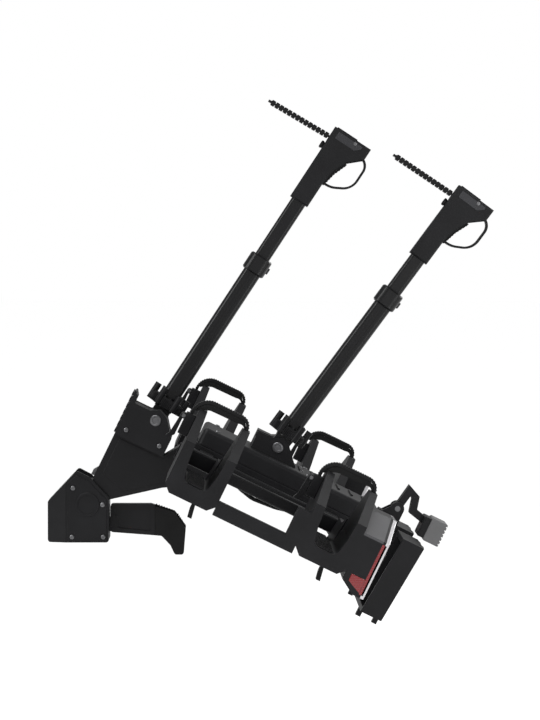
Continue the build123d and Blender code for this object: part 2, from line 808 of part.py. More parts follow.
def wheel_tray(middle):
    """One wheel channel: a deep pocket at the outer end and a shallow run towards the hinge."""
    pocket = plate([
        (middle - tray_half, wall_peak),
        (middle - tray_half, tray_bottom + tray_bevel),
        (middle - tray_half + tray_bevel, tray_bottom),
        (middle + tray_half - tray_bevel, tray_bottom),
        (middle + tray_half, tray_bottom + tray_bevel),
        (middle + tray_half, wall_peak),
    ], (pocket_start, rack_half_width))
    waist = (tray_floor + wall_end) / 2
    hollow = make_face(Polyline(
        (middle - throat_half, wall_peak + overrun),
        (middle - (floor_half + throat_half) / 2, waist),
        (middle - floor_half, tray_floor),
        (middle + floor_half, tray_floor),
        (middle + (floor_half + throat_half) / 2, waist),
        (middle + throat_half, wall_peak + overrun),
        close=True,
    ))
    hollow = fillet(hollow.vertices().filter_by(lambda v: v.Y < wall_end), tray_bevel)
    along = rack_half_width - pocket_start + 2 * overrun
    pocket -= Pos(0, rack_half_width + overrun, 0) * extrude(Plane.XZ * hollow, amount=along)
    line = outer_wall_line()
    over = [(pocket_start - overrun, run_wall)] + line + [(rack_half_width + overrun, wall_end)]
    over += [(rack_half_width + overrun, far_reach), (pocket_start - overrun, far_reach)]
    pocket -= across(over, (middle - tray_half - overrun, middle + tray_half + overrun))
    run = plate([
        (middle - run_half, run_wall),
        (middle - run_half, run_bottom + tray_bevel / 2),
        (middle - run_half + tray_bevel / 2, run_bottom),
        (middle + run_half - tray_bevel / 2, run_bottom),
        (middle + run_half, run_bottom + tray_bevel / 2),
        (middle + run_half, run_wall),
    ], (run_start, pocket_start + overrun))
    run -= plate([
        (middle - throat_half + tray_bevel / 2, run_wall + overrun),
        (middle - floor_half, run_floor),
        (middle + floor_half, run_floor),
        (middle + throat_half - tray_bevel / 2, run_wall + overrun),
    ], (run_start - overrun, pocket_start + 2 * overrun))
    run -= across([
        (run_start - overrun, run_wall_start),
        (inner_rail_start + rail_long + run_start / 2, run_wall_start),
        (pocket_start, run_wall),
        (pocket_start, far_reach),
        (run_start - overrun, far_reach),
    ], (middle - tray_half, middle + tray_half))
    tray = pocket + run
    # The seat of the strap's far end, and the slot that its tail hangs from
    x = (middle + throat_half + tray_wall_inset, middle + throat_half + tray_wall_inset + strap_thick)
    y = (strap_y - strap_wide / 2, strap_y + strap_wide / 2)
    tray -= block(x, y, (strap_seat, far_reach))
    return tray


def wing_frame():
    """The rail beside the hinge with its knuckles, and the brace between the channels."""
    x = (front_tray_x - tray_half, front_tray_x + tray_pitch + tray_half)
    half = knuckle_radius
    low = wing_hinge_z - half
    rail = block(x, (inner_rail_start, run_start), (low, wing_hinge_z + half))
    rail = fillet(rail.edges().filter_by(Axis.X), rail_round)
    for hinge_x in (hinge_front_x, hinge_rear_x):
        inner, outer = hinge_lugs(hinge_x)
        for start in (inner - side_gap - knuckle_long, outer + side_gap):
            limits = (start, start + knuckle_long)
            knuckle = rod_x(wing_hinge_y, wing_hinge_z, half, limits)
            y = (wing_hinge_y, inner_rail_start + rail_round)
            rail += knuckle + block(limits, y, (low, wing_hinge_z + half))
    rail -= rod_x(wing_hinge_y, wing_hinge_z, hinge_pin_radius + running_gap, (-far_reach, far_reach))
    front = front_tray_x + run_half
    rear = front_tray_x + tray_pitch - run_half
    brace = block((front, rear), (brace_y - rail_long / 2, brace_y + rail_long / 2), (brace_low, brace_high))
    brace = fillet(brace.edges().filter_by(Axis.X), rail_round)
    return Compound([rail, brace])


def outer_rail():
    """The rail that ties the outer ends of the two channels, with its upright at the rear."""
    start = front_tray_x + tray_half
    end = front_tray_x + tray_pitch - tray_half
    y = (rack_half_width - outer_rail_wide, rack_half_width)
    rail = block((start, end), y, (outer_rail_low, outer_rail_high))
    rail = fillet(rail.edges().filter_by(Axis.X), rail_round)
    post = block((post_front, end), y, (outer_rail_low + rail_round, post_top))
    inner_edges = post.edges().filter_by(Axis.Z).filter_by(lambda e: e.center().X < end - overrun)
    return rail + fillet(inner_edges, rail_round)


def lamp_outline():
    """The lamp seen from behind: its outer upper corner is sloped."""
    return [
        (lamp_inner, lamp_low),
        (rack_half_width, lamp_low),
        (rack_half_width, lamp_slope_z),
        (lamp_slope_y, lamp_high),
        (lamp_inner, lamp_high),
    ]


def lamp_front():
    return front_tray_x + tray_pitch + tray_half


def lamp_lens():
    """The lens over the rear face, with the part that wraps round the lower outer corner."""
    rear = lamp_rear
    margin = lens_margin
    sheet = across([
        (lamp_inner + margin, lamp_low + margin),
        (rack_half_width, lamp_low + margin),
        (rack_half_width, lamp_slope_z - margin),
        (lamp_slope_y, lamp_high - margin),
        (lamp_inner + margin, lamp_high - margin),
    ], (rear - lamp_lens_thick, rear))
    low = lamp_low + margin
    y = (rack_half_width - lens_wrap_thick, rack_half_width)
    wrap = plate([
        (lens_wrap_front, (low + lens_wrap_high) / 2),
        (rear - lamp_lens_thick / 2, low),
        (rear - lamp_lens_thick / 2, lens_wrap_high),
        (lens_wrap_front, lens_wrap_high),
    ], y)
    return sheet + wrap


def lamp_cover():
    """The grey panel on the sloped corner."""
    slope = [
        (rack_half_width, lamp_slope_z),
        (lamp_slope_y, lamp_high),
        (lamp_slope_y, lamp_high - lamp_cover_thick),
        (rack_half_width, lamp_slope_z - lamp_cover_thick),
    ]
    return across(slope, (lamp_front(), lamp_rear - lamp_lens_thick))


def lamp_housing():
    front = lamp_front()
    body = across(lamp_outline(), (front, lamp_rear - lamp_lens_thick / 2))
    body -= plate([
        (front - overrun, lamp_low - overrun),
        (lamp_rear - lamp_lens_thick, lamp_low - overrun),
        (lamp_rear - 2 * lamp_lens_thick, lamp_low),
        (front, lamp_low_front),
        (front - overrun, lamp_low_front),
    ], (lamp_inner - overrun, rack_half_width + overrun))
    return body - lamp_lens() - lamp_cover()


def strap_route(middle):
    """The middle line of a wheel strap, from its buckle over the top into the far wall."""
    front = middle - tray_half - buckle_deep / 2
    rear = middle + throat_half + tray_wall_inset + strap_thick / 2
    top = strap_top - strap_thick / 2
    return FilletPolyline(
        (front, buckle_high),
        (front, top),
        (rear, top),
        (rear, strap_seat),
        radius=(strap_front_bend, strap_rear_bend),
    )


def wheel_strap(middle):
    band = trace(strap_route(middle), strap_thick)
    y = strap_y + strap_wide / 2
    band = Pos(0, y, 0) * extrude(Plane.XZ * band, amount=strap_wide)
    tail = plate([
        (middle + tail_offset - strap_thick, tray_bottom),
        (middle + tail_offset, tray_bottom),
        (middle + tail_offset + strap_thick, tray_bottom - tail_drop),
        (middle + tail_offset - strap_thick / 2, tray_bottom - tail_drop),
        (middle + tail_offset - strap_thick, tray_bottom - tail_drop / 2),
    ], (tail_y - strap_wide / 2, tail_y + strap_wide / 2))
    return Compound([band, tail])


def flap_pivot(middle):
    return (middle - tray_half - buckle_deep - flap_thick / 2, buckle_high - 2 * flap_tip)


def strap_buckle(middle):
    """The buckle on the front wall of a channel."""
    wall = middle - tray_half
    body = soft_block(
        (wall - buckle_deep, wall),
        (strap_y - buckle_half, strap_y + buckle_half),
        (buckle_low, buckle_high),
        strap_thick / 4,
    )
    x, z = flap_pivot(middle)
    for side in (-1, 1):
        y = sorted((strap_y + side * (flap_half + side_gap), strap_y + side * buckle_half))
        ear = rod_y(x, z, flap_thick, y)
        ear += block((x, wall - buckle_deep + strap_thick), y, (z - flap_thick, z + flap_thick))
        body += ear
    body -= rod_y(x, z, buckle_pin_radius, (-far_reach, far_reach))
    half = flap_half + side_gap
    return body - rod_y(x, z, flap_thick + side_gap, (strap_y - half, strap_y + half))


def buckle_flap(middle):
    """The lever of a buckle, with its own hinge bar."""
    x, z = flap_pivot(middle)
    y = (strap_y - flap_half, strap_y + flap_half)
    outer = x - flap_thick
    flap = plate([
        (x - flap_thick, z),
        (x, z),
        (x, z - flap_long + flap_thick),
        (x - flap_tip, z - flap_long),
        (outer - 2 * flap_tip, z - flap_long - flap_thick / 2),
        (outer - flap_tip, z - flap_long + flap_thick),
    ], y)
    flap += rod_y(x, z, flap_thick, y)
    reach = buckle_half
    bar = buckle_pin_radius - running_gap
    return flap + rod_y(x, z, bar, (strap_y - reach, strap_y + reach))


rear_tray_x = front_tray_x + tray_pitch
wing_pieces = {
    "tray_front": wheel_tray(front_tray_x),
    "tray_rear": wheel_tray(rear_tray_x),
    "wing_frame": wing_frame(),
    "outer_rail": outer_rail(),
    "lamp_housing": lamp_housing(),
    "lamp_lens": lamp_lens(),
    "lamp_cover": lamp_cover(),
    "strap_front": wheel_strap(front_tray_x),
    "strap_rear": wheel_strap(rear_tray_x),
    "buckle_front": strap_buckle(front_tray_x),
    "buckle_rear": strap_buckle(rear_tray_x),
    "flap_front": buckle_flap(front_tray_x),
    "flap_rear": buckle_flap(rear_tray_x),
}
for name, piece in wing_pieces.items():
    save_tilted(piece, name + "_right")
    save_tilted(mirrored(piece), name + "_left")

# Arms, each drawn upright from its own pin
arm_lean_front = 7.3            # lean of each arm from square to the platform, degrees
arm_lean_rear = 10.6
arm_length_front = 620.0        # from the pin to the top of the head, as the arm is set
arm_length_rear = 572.0
foot_radius = 16.0
tube_start = 22.0
journal_radius = 17.5
journal_top = 46.0
tube_wide = 33.0                # outside of the lower tube, along X
tube_deep = 29.0                # and along Y
tube_corner = 8.0
tube_wall = 1.8
tube_gap = 0.3                  # between the two tubes
groove_half = 3.5
groove_deep = 1.2
showing_front = 120.0           # length of each upper tube between the cuff and the head, as the arm is set
showing_rear = 72.0
cuff_long = 34.0
cuff_wall = 5.0
inserted_front = 150.0          # length of each upper tube inside the lower one, as the arm is set
inserted_rear = 198.0
spigot_radius = 9.0
head_long = 150.0               # from the top of the head to where it turns on the tube
spigot_long = 40.0
hammer_front = -19.0
hammer_rear = 58.0
hammer_half = 17.0
hammer_front_low = -30.0
hammer_rear_low = -24.0
hammer_arch_x = 34.0
hammer_arch_z = -46.0
hammer_waist = 18.5
hammer_waist_z = -100.0
hammer_round = 3.0
release_half = 9.0
release_front = -14.0
release_pin_x = 28.0
release_pin_radius = 1.5
release_thick = 5.0
release_proud = 2.0
release_pin_z = -2.8
release_barrel = 2.5
release_room = 6.0              # depth of the recess for the release lever
nut_low = 24.0
nut_high = 42.0
nut_radius = 31.0
nut_lobe_radius = 6.0
nut_lobe_reach = 37.0
nut_lobe_top = 56.0
nut_lobe_count = 6
button_radius = 6.0
button_proud = 3.0
button_travel = 2.0
button_depth = 4.0

band_thick = 4.0
band_half = 11.0
band_z = -21.0                  # where the toothed strap passes through the head
band_tail_x = -146.0
band_tail_z = -27.0
band_bend_x = 68.0
band_low = -78.0
band_home_x = 34.0
band_home_z = -97.0
band_tail_bend = 60.0           # corner radii along the toothed strap
band_top_bend = 20.0
band_rear_bend = 30.0
band_low_bend = 40.0
tooth_pitch = 5.0
tooth_high = 1.5
tooth_half = 8.0


def rounded_tube(wide, deep, corner, z):
    """A solid bar of rounded box section along Z."""
    section = RectangleRounded(wide, deep, corner)
    return Pos(0, 0, z[0]) * extrude(section, amount=z[1] - z[0])


def upper_section():
    """Width, depth and corner of the upper tube, which slides in the lower one."""
    inset = 2 * (tube_wall + tube_gap)
    return (tube_wide - inset, tube_deep - inset, tube_corner - tube_wall)


def arm_tube(lower_top):
    """The lower tube with its foot on the pin and the cuff that locks the upper tube."""
    tube = rounded_tube(tube_wide, tube_deep, tube_corner, (nut_high + free_gap, lower_top))
    for side in (-1, 1):
        y = sorted((side * (tube_deep / 2 - groove_deep), side * tube_deep))
        tube -= block((-groove_half, groove_half), y, (journal_top + overrun, lower_top - cuff_long))
    tube += rod_z(0, 0, journal_radius, (tube_start - tube_wall, journal_top))
    tube += block((-foot_radius, foot_radius), (-foot_half, foot_half), (0, tube_start))
    tube += rod_y(0, 0, foot_radius, (-foot_half, foot_half))
    cuff = rounded_tube(
        tube_wide + 2 * cuff_wall,
        tube_deep + 2 * cuff_wall,
        tube_corner + cuff_wall,
        (lower_top - cuff_long, lower_top),
    )
    ends = cuff.faces().sort_by(Axis.Z)
    tube += chamfer(ends[0].edges() + ends[-1].edges(), cuff_wall / 2)
    inner = 2 * tube_wall
    bore = rounded_tube(
        tube_wide - inner, tube_deep - inner, tube_corner - tube_wall, (journal_top, lower_top + overrun)
    )
    tube -= bore
    tube -= rod_y(0, 0, arm_pin_radius + running_gap, (-far_reach, far_reach))
    x = (tube_wide / 2 + cuff_wall - button_depth, tube_wide)
    z = lower_top - cuff_long / 2
    tube -= rod_x(0, z, button_radius + running_gap, x)
    return tube


def lock_button(lower_top):
    """The button at the rear of the cuff."""
    face = tube_wide / 2 + cuff_wall
    z = lower_top - cuff_long / 2
    button = rod_x(0, z, button_radius, (face - button_depth + button_travel, face + button_proud))
    return chamfer(button.faces().sort_by(Axis.X)[-1].edges(), button_proud / 4)


def lock_nut():
    """The lobed nut that clamps the arm's foot, turning on the journal."""
    nut = rod_z(0, 0, nut_radius, (nut_low, nut_high))
    for i in range(nut_lobe_count):
        turn = Rot(0, 0, i * 360 / nut_lobe_count)
        reach = nut_lobe_reach - nut_lobe_radius
        nut += turn * rod_z(reach, 0, nut_lobe_radius, (nut_low, nut_lobe_top))
    return nut - rod_z(0, 0, journal_radius + running_gap, (0, far_reach))


def upper_tube(top, lower_top, inserted):
    wide, deep, corner = upper_section()
    low = lower_top - inserted
    shoulder = top - head_long
    tube = rounded_tube(wide, deep, corner, (low, shoulder))
    inner = 2 * tube_wall
    z = (low - overrun, shoulder - spigot_long)
    tube -= rounded_tube(wide - inner, deep - inner, corner - tube_wall, z)
    return tube + rod_z(0, 0, spigot_radius, (shoulder - overrun, shoulder + spigot_long))


def frame_head():
    """The hammer-shaped head at the end of an arm, from its top downward."""
    head = plate([
        (hammer_arch_x, hammer_arch_z),
        (hammer_rear, hammer_rear_low),
        (hammer_rear, 0),
        (hammer_front, 0),
        (hammer_front, hammer_front_low),
        (-hammer_waist, hammer_front_low - hammer_round),
        (-hammer_waist, -head_long),
        (hammer_waist, -head_long),
        (hammer_waist, hammer_waist_z),
        (hammer_waist + (hammer_arch_x - hammer_waist) / 3, (hammer_waist_z + hammer_arch_z) / 2),
    ], (-hammer_half, hammer_half))
    sides = head.faces().sort_by(Axis.Y)
    head = chamfer(sides[0].edges() + sides[-1].edges(), hammer_round)
    head -= rod_z(0, 0, spigot_radius + running_gap, (-far_reach, spigot_long + free_gap - head_long))
    half = release_half + side_gap
    recess = (release_front - far_reach, release_pin_x + release_thick)
    head -= block(recess, (-half, half), (-release_room, far_reach))
    head -= rod_y(release_pin_x, release_pin_z, release_pin_radius, (-far_reach, far_reach))
    return head - frame_band_core(band_half)


def band_route():
    return FilletPolyline(
        (band_tail_x, band_tail_z),
        (hammer_front, band_z),
        (band_bend_x, band_z),
        (band_bend_x, band_low),
        (band_home_x, band_home_z),
        (0, band_home_z),
        radius=(band_tail_bend, band_top_bend, band_rear_bend, band_low_bend),
    )


def frame_band_core(half):
    band = trace(band_route(), band_thick)
    return Pos(0, half, 0) * extrude(Plane.XZ * band, amount=2 * half)


def frame_band():
    """The toothed strap: its tail in front of the head and its loop behind it."""
    band = frame_band_core(band_half)
    count = int((hammer_front - band_tail_x) / tooth_pitch)
    for i in range(1, count - 2):
        centre = band_tail_x + i * tooth_pitch
        share = (centre - band_tail_x) / (hammer_front - band_tail_x)
        z = band_tail_z + share * (band_z - band_tail_z) + band_thick / 2
        x = (centre, centre + tooth_pitch / 2)
        band += block(x, (-tooth_half, tooth_half), (z - tooth_high, z + tooth_high))
    return band


def strap_release():
    """The lever on top of the head that frees the toothed strap."""
    low = release_proud - release_thick
    lever = block((release_front, release_pin_x), (-release_half, release_half), (low, release_proud))
    lever += rod_y(release_pin_x, release_pin_z, release_barrel, (-release_half, release_half))
    bar = release_pin_radius - running_gap
    return lever + rod_y(release_pin_x, release_pin_z, bar, (-hammer_half, hammer_half))


arms = (
    ("front", arm_pin_front_x, arm_lane, arm_pin_front_z, arm_lean_front),
    ("rear", arm_pin_rear_x, -arm_lane, arm_pin_rear_z, arm_lean_rear),
)
settings = (
    (arm_length_front, showing_front, inserted_front),
    (arm_length_rear, showing_rear, inserted_rear),
)
for (name, x, lane, z, lean), (length, showing, inserted) in zip(arms, settings):
    stand = Pos(x, lane, z) * Rot(0, lean, 0)
    top = stand * Pos(0, 0, length)
    lower_top = length - head_long - showing
    save_tilted(stand * arm_tube(lower_top), "arm_tube_" + name)
    save_tilted(stand * lock_nut(), "lock_nut_" + name)
    save_tilted(stand * lock_button(lower_top), "lock_button_" + name)
    save_tilted(stand * upper_tube(length, lower_top, inserted), "upper_tube_" + name)
    save_tilted(top * frame_head(), "frame_head_" + name)
    save_tilted(top * frame_band(), "frame_band_" + name)
    save_tilted(top * strap_release(), "strap_release_" + name)
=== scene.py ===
import json
from math import cos, pi, radians, sin, tan

import bmesh
import bpy
from mathutils import Matrix, Vector


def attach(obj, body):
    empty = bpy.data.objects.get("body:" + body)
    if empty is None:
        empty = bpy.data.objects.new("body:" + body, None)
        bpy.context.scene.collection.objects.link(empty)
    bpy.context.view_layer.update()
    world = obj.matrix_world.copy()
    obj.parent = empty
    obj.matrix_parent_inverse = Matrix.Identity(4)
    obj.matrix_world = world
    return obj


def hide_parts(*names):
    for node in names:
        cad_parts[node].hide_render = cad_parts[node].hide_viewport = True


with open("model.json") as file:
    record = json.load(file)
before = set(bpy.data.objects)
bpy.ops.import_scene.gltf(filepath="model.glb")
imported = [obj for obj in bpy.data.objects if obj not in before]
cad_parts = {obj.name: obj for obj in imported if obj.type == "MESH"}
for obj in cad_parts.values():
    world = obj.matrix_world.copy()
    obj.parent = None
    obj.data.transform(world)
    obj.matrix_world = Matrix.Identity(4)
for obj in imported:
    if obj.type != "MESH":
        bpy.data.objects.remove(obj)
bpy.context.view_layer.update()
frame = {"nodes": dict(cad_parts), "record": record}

# places and sizes of the CAD part, metres and degrees, in the coordinates of the level platform
rack = {
    "pinX": 0.0195,
    "pinZ": 0.042,
    "tilt": 26.0,
    "halfWidth": 0.650,
    "trays": {"front": 0.146, "rear": 0.382},
    "strapY": 0.512,
    "pocketY": 0.392,
    "arms": {
        "front": {"x": 0.044, "lane": 0.036, "z": 0.190, "lean": 7.3, "length": 0.620},
        "rear": {"x": 0.262, "lane": -0.036, "z": 0.242, "lean": 10.6, "length": 0.572},
    },
}
pinFrame = Matrix.Translation((rack["pinX"], 0, rack["pinZ"]))
tiltFrame = pinFrame @ Matrix.Rotation(radians(rack["tilt"]), 4, "Y")


# matrices that take a piece from its arm's or head's own coordinates to its place
def armFrame(name):
    arm = rack["arms"][name]
    place = Matrix.Translation((arm["x"], arm["lane"], arm["z"]))
    return tiltFrame @ place @ Matrix.Rotation(radians(arm["lean"]), 4, "Y")


def headFrame(name):
    return armFrame(name) @ Matrix.Translation((0, 0, rack["arms"][name]["length"]))


# finishes of the moulded, painted and plated surfaces
looks = {
    "black_plastic": {
        "color": (0.0070, 0.0070, 0.0078),
        "rough": 0.44, "spec": 0.15, "grain": 900, "bump": 0.10, "mottle": 0.25,
    },
    "black_paint": {
        "color": (0.0056, 0.0056, 0.0063),
        "rough": 0.36, "spec": 0.17, "grain": 420, "bump": 0.12, "mottle": 0.15,
    },
    "black_anodised": {
        "color": (0.0045, 0.0045, 0.0050),
        "rough": 0.30, "spec": 0.24, "grain": 300, "bump": 0.03, "mottle": 0.2,
    },
    "black_rubber": {
        "color": (0.0065, 0.0065, 0.0066),
        "rough": 0.68, "spec": 0.13, "grain": 700, "bump": 0.18, "mottle": 0.3,
    },
    "strap_plastic": {
        "color": (0.0052, 0.0052, 0.0056),
        "rough": 0.50, "spec": 0.15, "grain": 650, "bump": 0.08, "mottle": 0.2,
    },
    "grey_plastic": {
        "color": (0.098, 0.098, 0.100),
        "rough": 0.46, "spec": 0.40, "grain": 800, "bump": 0.10, "mottle": 0.12,
    },
    "lamp_grey": {
        "color": (0.050, 0.050, 0.053),
        "rough": 0.40, "spec": 0.30, "grain": 800, "bump": 0.08, "mottle": 0.12,
    },
    # lighter grey of the head side panels, a painted sheen standing for light on the heads' sides
    "head_sheen_grey": {
        "color": (0.019, 0.019, 0.022),
        "rough": 0.38, "spec": 0.30, "grain": 800, "bump": 0.08, "mottle": 0.15,
    },
    "gloss_button": {
        "color": (0.0120, 0.0120, 0.0130),
        "rough": 0.18, "spec": 0.45, "grain": 300, "bump": 0.02, "mottle": 0.1,
    },
    "steel": {
        "color": (0.14, 0.14, 0.145),
        "rough": 0.34, "spec": 0.50, "grain": 500, "bump": 0.05, "mottle": 0.2,
    },
}


def newMaterial(name):
    material = bpy.data.materials.new(name)
    material.use_nodes = True
    tree = material.node_tree
    tree.nodes.clear()
    out = tree.nodes.new("ShaderNodeOutputMaterial")
    shader = tree.nodes.new("ShaderNodeBsdfPrincipled")
    tree.links.new(shader.outputs["BSDF"], out.inputs["Surface"])
    return material, tree, shader


# what all finishes share: a slightly uneven tone and a fine grain
surface = {
    "cloudScale": 14,
    "cloudDetail": 5,
    "cloudLow": 0.3,
    "cloudHigh": 0.7,
    "grainDetail": 2,
    "grainDepth": 0.0004,
}


def finish(name, look):
    material, tree, shader = newMaterial(name)
    add = tree.nodes.new
    link = tree.links.new
    coords = add("ShaderNodeTexCoord")
    cloud = add("ShaderNodeTexNoise")
    cloud.inputs["Scale"].default_value = surface["cloudScale"]
    cloud.inputs["Detail"].default_value = surface["cloudDetail"]
    link(coords.outputs["Object"], cloud.inputs["Vector"])
    tone = add("ShaderNodeMapRange")
    tone.inputs["From Min"].default_value = surface["cloudLow"]
    tone.inputs["From Max"].default_value = surface["cloudHigh"]
    tone.inputs["To Min"].default_value = 1 - look["mottle"]
    tone.inputs["To Max"].default_value = 1 + look["mottle"]
    link(cloud.outputs["Fac"], tone.inputs["Value"])
    scale = add("ShaderNodeVectorMath")
    scale.operation = "SCALE"
    scale.inputs[0].default_value = look["color"]
    link(tone.outputs["Result"], scale.inputs["Scale"])
    link(scale.outputs["Vector"], shader.inputs["Base Color"])
    shader.inputs["Metallic"].default_value = 1.0 if name == "steel" else 0.0
    shader.inputs["Roughness"].default_value = look["rough"]
    shader.inputs["Specular IOR Level"].default_value = look["spec"]
    grain = add("ShaderNodeTexNoise")
    grain.inputs["Scale"].default_value = look["grain"]
    grain.inputs["Detail"].default_value = surface["grainDetail"]
    link(coords.outputs["Object"], grain.inputs["Vector"])
    bump = add("ShaderNodeBump")
    bump.inputs["Strength"].default_value = look["bump"]
    bump.inputs["Distance"].default_value = surface["grainDepth"]
    link(grain.outputs["Fac"], bump.inputs["Height"])
    link(bump.outputs["Normal"], shader.inputs["Normal"])
    material.diffuse_color = (*look["color"], 1)
    return material


materials = {name: finish(name, look) for name, look in looks.items()}


# lamp lens with small pyramids moulded into it
lensLook = {
    "shades": {
        "red": (0.15, 0.003, 0.005),
        "amber": (0.60, 0.13, 0.006),
        "clear": (0.46, 0.45, 0.46),
    },
    "rough": 0.10,
    "coat": 0.45,
    "coatRough": 0.04,
    "cells": 260,
    "bump": 0.35,
    "depth": 0.0006,
}


def lensField(name, color):
    material, tree, shader = newMaterial(name)
    shader.inputs["Base Color"].default_value = (*color, 1)
    shader.inputs["Roughness"].default_value = lensLook["rough"]
    shader.inputs["Coat Weight"].default_value = lensLook["coat"]
    shader.inputs["Coat Roughness"].default_value = lensLook["coatRough"]
    coords = tree.nodes.new("ShaderNodeTexCoord")
    cells = tree.nodes.new("ShaderNodeTexVoronoi")
    cells.inputs["Scale"].default_value = lensLook["cells"]
    cells.inputs["Randomness"].default_value = 0.0
    bump = tree.nodes.new("ShaderNodeBump")
    bump.inputs["Strength"].default_value = lensLook["bump"]
    bump.inputs["Distance"].default_value = lensLook["depth"]
    tree.links.new(coords.outputs["Object"], cells.inputs["Vector"])
    tree.links.new(cells.outputs["Distance"], bump.inputs["Height"])
    tree.links.new(bump.outputs["Normal"], shader.inputs["Normal"])
    material.diffuse_color = (*color, 1)
    return material


lensColors = {name: lensField("lens_" + name, color) for name, color in lensLook["shades"].items()}
materials["red_lens"] = lensColors["red"]
print("materials ready:", len(materials))

# every CAD node gets the finish of the slot that the record names, and the lamp covers a darker grey
slotOf = {part["node"]: part["material_slot"] for part in frame["record"]["subparts"]}
for node, obj in frame["nodes"].items():
    material = materials["lamp_grey" if node.startswith("lamp_cover") else slotOf[node]]
    obj.data.materials.clear()
    obj.data.materials.append(material)

# rounding of the edges of the CAD pieces: alone, in left and right pairs, and one for each arm
softEdges = {
    "alone": {
        "coupling_housing": 0.0016,
        "tilt_neck": 0.0016,
        "beam_cover": 0.0008,
        "arm_base_front": 0.0012,
        "arm_base_rear": 0.0012,
        "plate_holder": 0.0010,
        "pedal_post": 0.0010,
        "foot_pedal": 0.0012,
        "clamp_lever": 0.0012,
        "lever_grip": 0.0008,
        "clamp_jaw": 0.0006,
        "platform_frame": 0.0006,
    },
    "sides": {
        "tray_front": 0.0014,
        "tray_rear": 0.0014,
        "wing_frame": 0.0006,
        "lamp_housing": 0.0014,
        "lamp_cover": 0.0006,
        "strap_front": 0.0006,
        "strap_rear": 0.0006,
        "buckle_front": 0.0005,
        "buckle_rear": 0.0005,
        "flap_front": 0.0006,
        "flap_rear": 0.0006,
    },
    "arms": {
        "arm_tube": 0.0007,
        "frame_head": 0.0010,
        "strap_release": 0.0006,
        "lock_nut": 0.0008,
    },
    "segments": 2,
    "bevelAngle": 32,
    "flatAngle": 0.5,
}


def softenEdges(obj, width):
    flat = obj.modifiers.new("flat", "DECIMATE")
    flat.decimate_type = "DISSOLVE"
    flat.angle_limit = radians(softEdges["flatAngle"])
    bevel = obj.modifiers.new("bevel", "BEVEL")
    bevel.width = width
    bevel.segments = softEdges["segments"]
    bevel.limit_method = "ANGLE"
    bevel.angle_limit = radians(softEdges["bevelAngle"])
    bevel.harden_normals = False
    bevel.use_clamp_overlap = True


for node, width in softEdges["alone"].items():
    softenEdges(frame["nodes"][node], width)
for group, endings in (("sides", ("left", "right")), ("arms", rack["arms"])):
    for stem, width in softEdges[group].items():
        for ending in endings:
            softenEdges(frame["nodes"][stem + "_" + ending], width)
for obj in frame["nodes"].values():
    for poly in obj.data.polygons:
        poly.use_smooth = False
print("edges softened")


# helpers for the detailed pieces
scene = bpy.context.scene


# mesh from a function that fills a bmesh, put in its place by the matrix
def meshFrom(name, build, matrix=None):
    mesh = bpy.data.meshes.new(name)
    bm = bmesh.new()
    build(bm)
    if matrix is not None:
        bmesh.ops.transform(bm, matrix=matrix, verts=bm.verts)
    bmesh.ops.recalc_face_normals(bm, faces=bm.faces)
    bm.to_mesh(mesh)
    bm.free()
    return mesh


# links a finished mesh, hangs it under its body, gives it its slot's material when it has none, and hides
# the CAD nodes that it replaces
def addPiece(name, mesh, body, slotName, material=None, replaced=()):
    obj = bpy.data.objects.new(name, mesh)
    scene.collection.objects.link(obj)
    if not mesh.materials:
        mesh.materials.append(material or materials[slotName])
    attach(obj, body)
    if replaced:
        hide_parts(*replaced)


# rounds every edge of the solid that these points belong to
def roundEdges(bm, verts, width, segments):
    edges = {edge for vert in verts for edge in vert.link_edges}
    bmesh.ops.bevel(bm, geom=list(edges), offset=width, segments=segments, affect="EDGES", profile=0.5)


def boxInto(bm, low, high, width, segments=2):
    size = Vector(high) - Vector(low)
    centre = (Vector(high) + Vector(low)) / 2
    place = Matrix.Translation(centre) @ Matrix.Diagonal((*size, 1))
    made = bmesh.ops.create_cube(bm, size=1.0, matrix=place)
    roundEdges(bm, made["verts"], width, segments)


# faces between two rings of points, either of which may be a single point
def bridgeInto(bm, lower, upper):
    count = max(len(lower), len(upper))
    for i in range(count):
        j = (i + 1) % count
        if len(lower) == 1:
            bm.faces.new((lower[0], upper[i], upper[j]))
        elif len(upper) == 1:
            bm.faces.new((lower[i], upper[0], lower[j]))
        else:
            bm.faces.new((lower[i], upper[i], upper[j], lower[j]))


# closed solid between two outlines with as many points each: hands back its first face and its points
def solidInto(bm, firstPoints, secondPoints):
    first = [bm.verts.new(point) for point in firstPoints]
    second = [bm.verts.new(point) for point in secondPoints]
    front = bm.faces.new(first)
    bm.faces.new(list(reversed(second)))
    bridgeInto(bm, first, second)
    return front, first + second


# outline in X and Z, drawn out along Y
def prismInto(bm, outline, y, width, segments=2):
    low, high = y
    verts = solidInto(bm, [(x, low, z) for x, z in outline], [(x, high, z) for x, z in outline])[1]
    roundEdges(bm, verts, width, segments)


def ringInto(bm, radius, z, segments):
    angles = [2 * pi * i / segments for i in range(segments)]
    return [bm.verts.new((radius * cos(angle), radius * sin(angle), z)) for angle in angles]


# turned solid about Z from (radius, z) pairs, closed by radius 0 at both ends
def latheInto(bm, profile, segments=24, matrix=None):
    rings = []
    for radius, z in profile:
        rings.append(ringInto(bm, radius, z, segments) if radius else [bm.verts.new((0, 0, z))])
    for lower, upper in zip(rings, rings[1:]):
        bridgeInto(bm, lower, upper)
    if matrix is not None:
        verts = [vert for ring in rings for vert in ring]
        bmesh.ops.transform(bm, matrix=matrix, verts=verts)


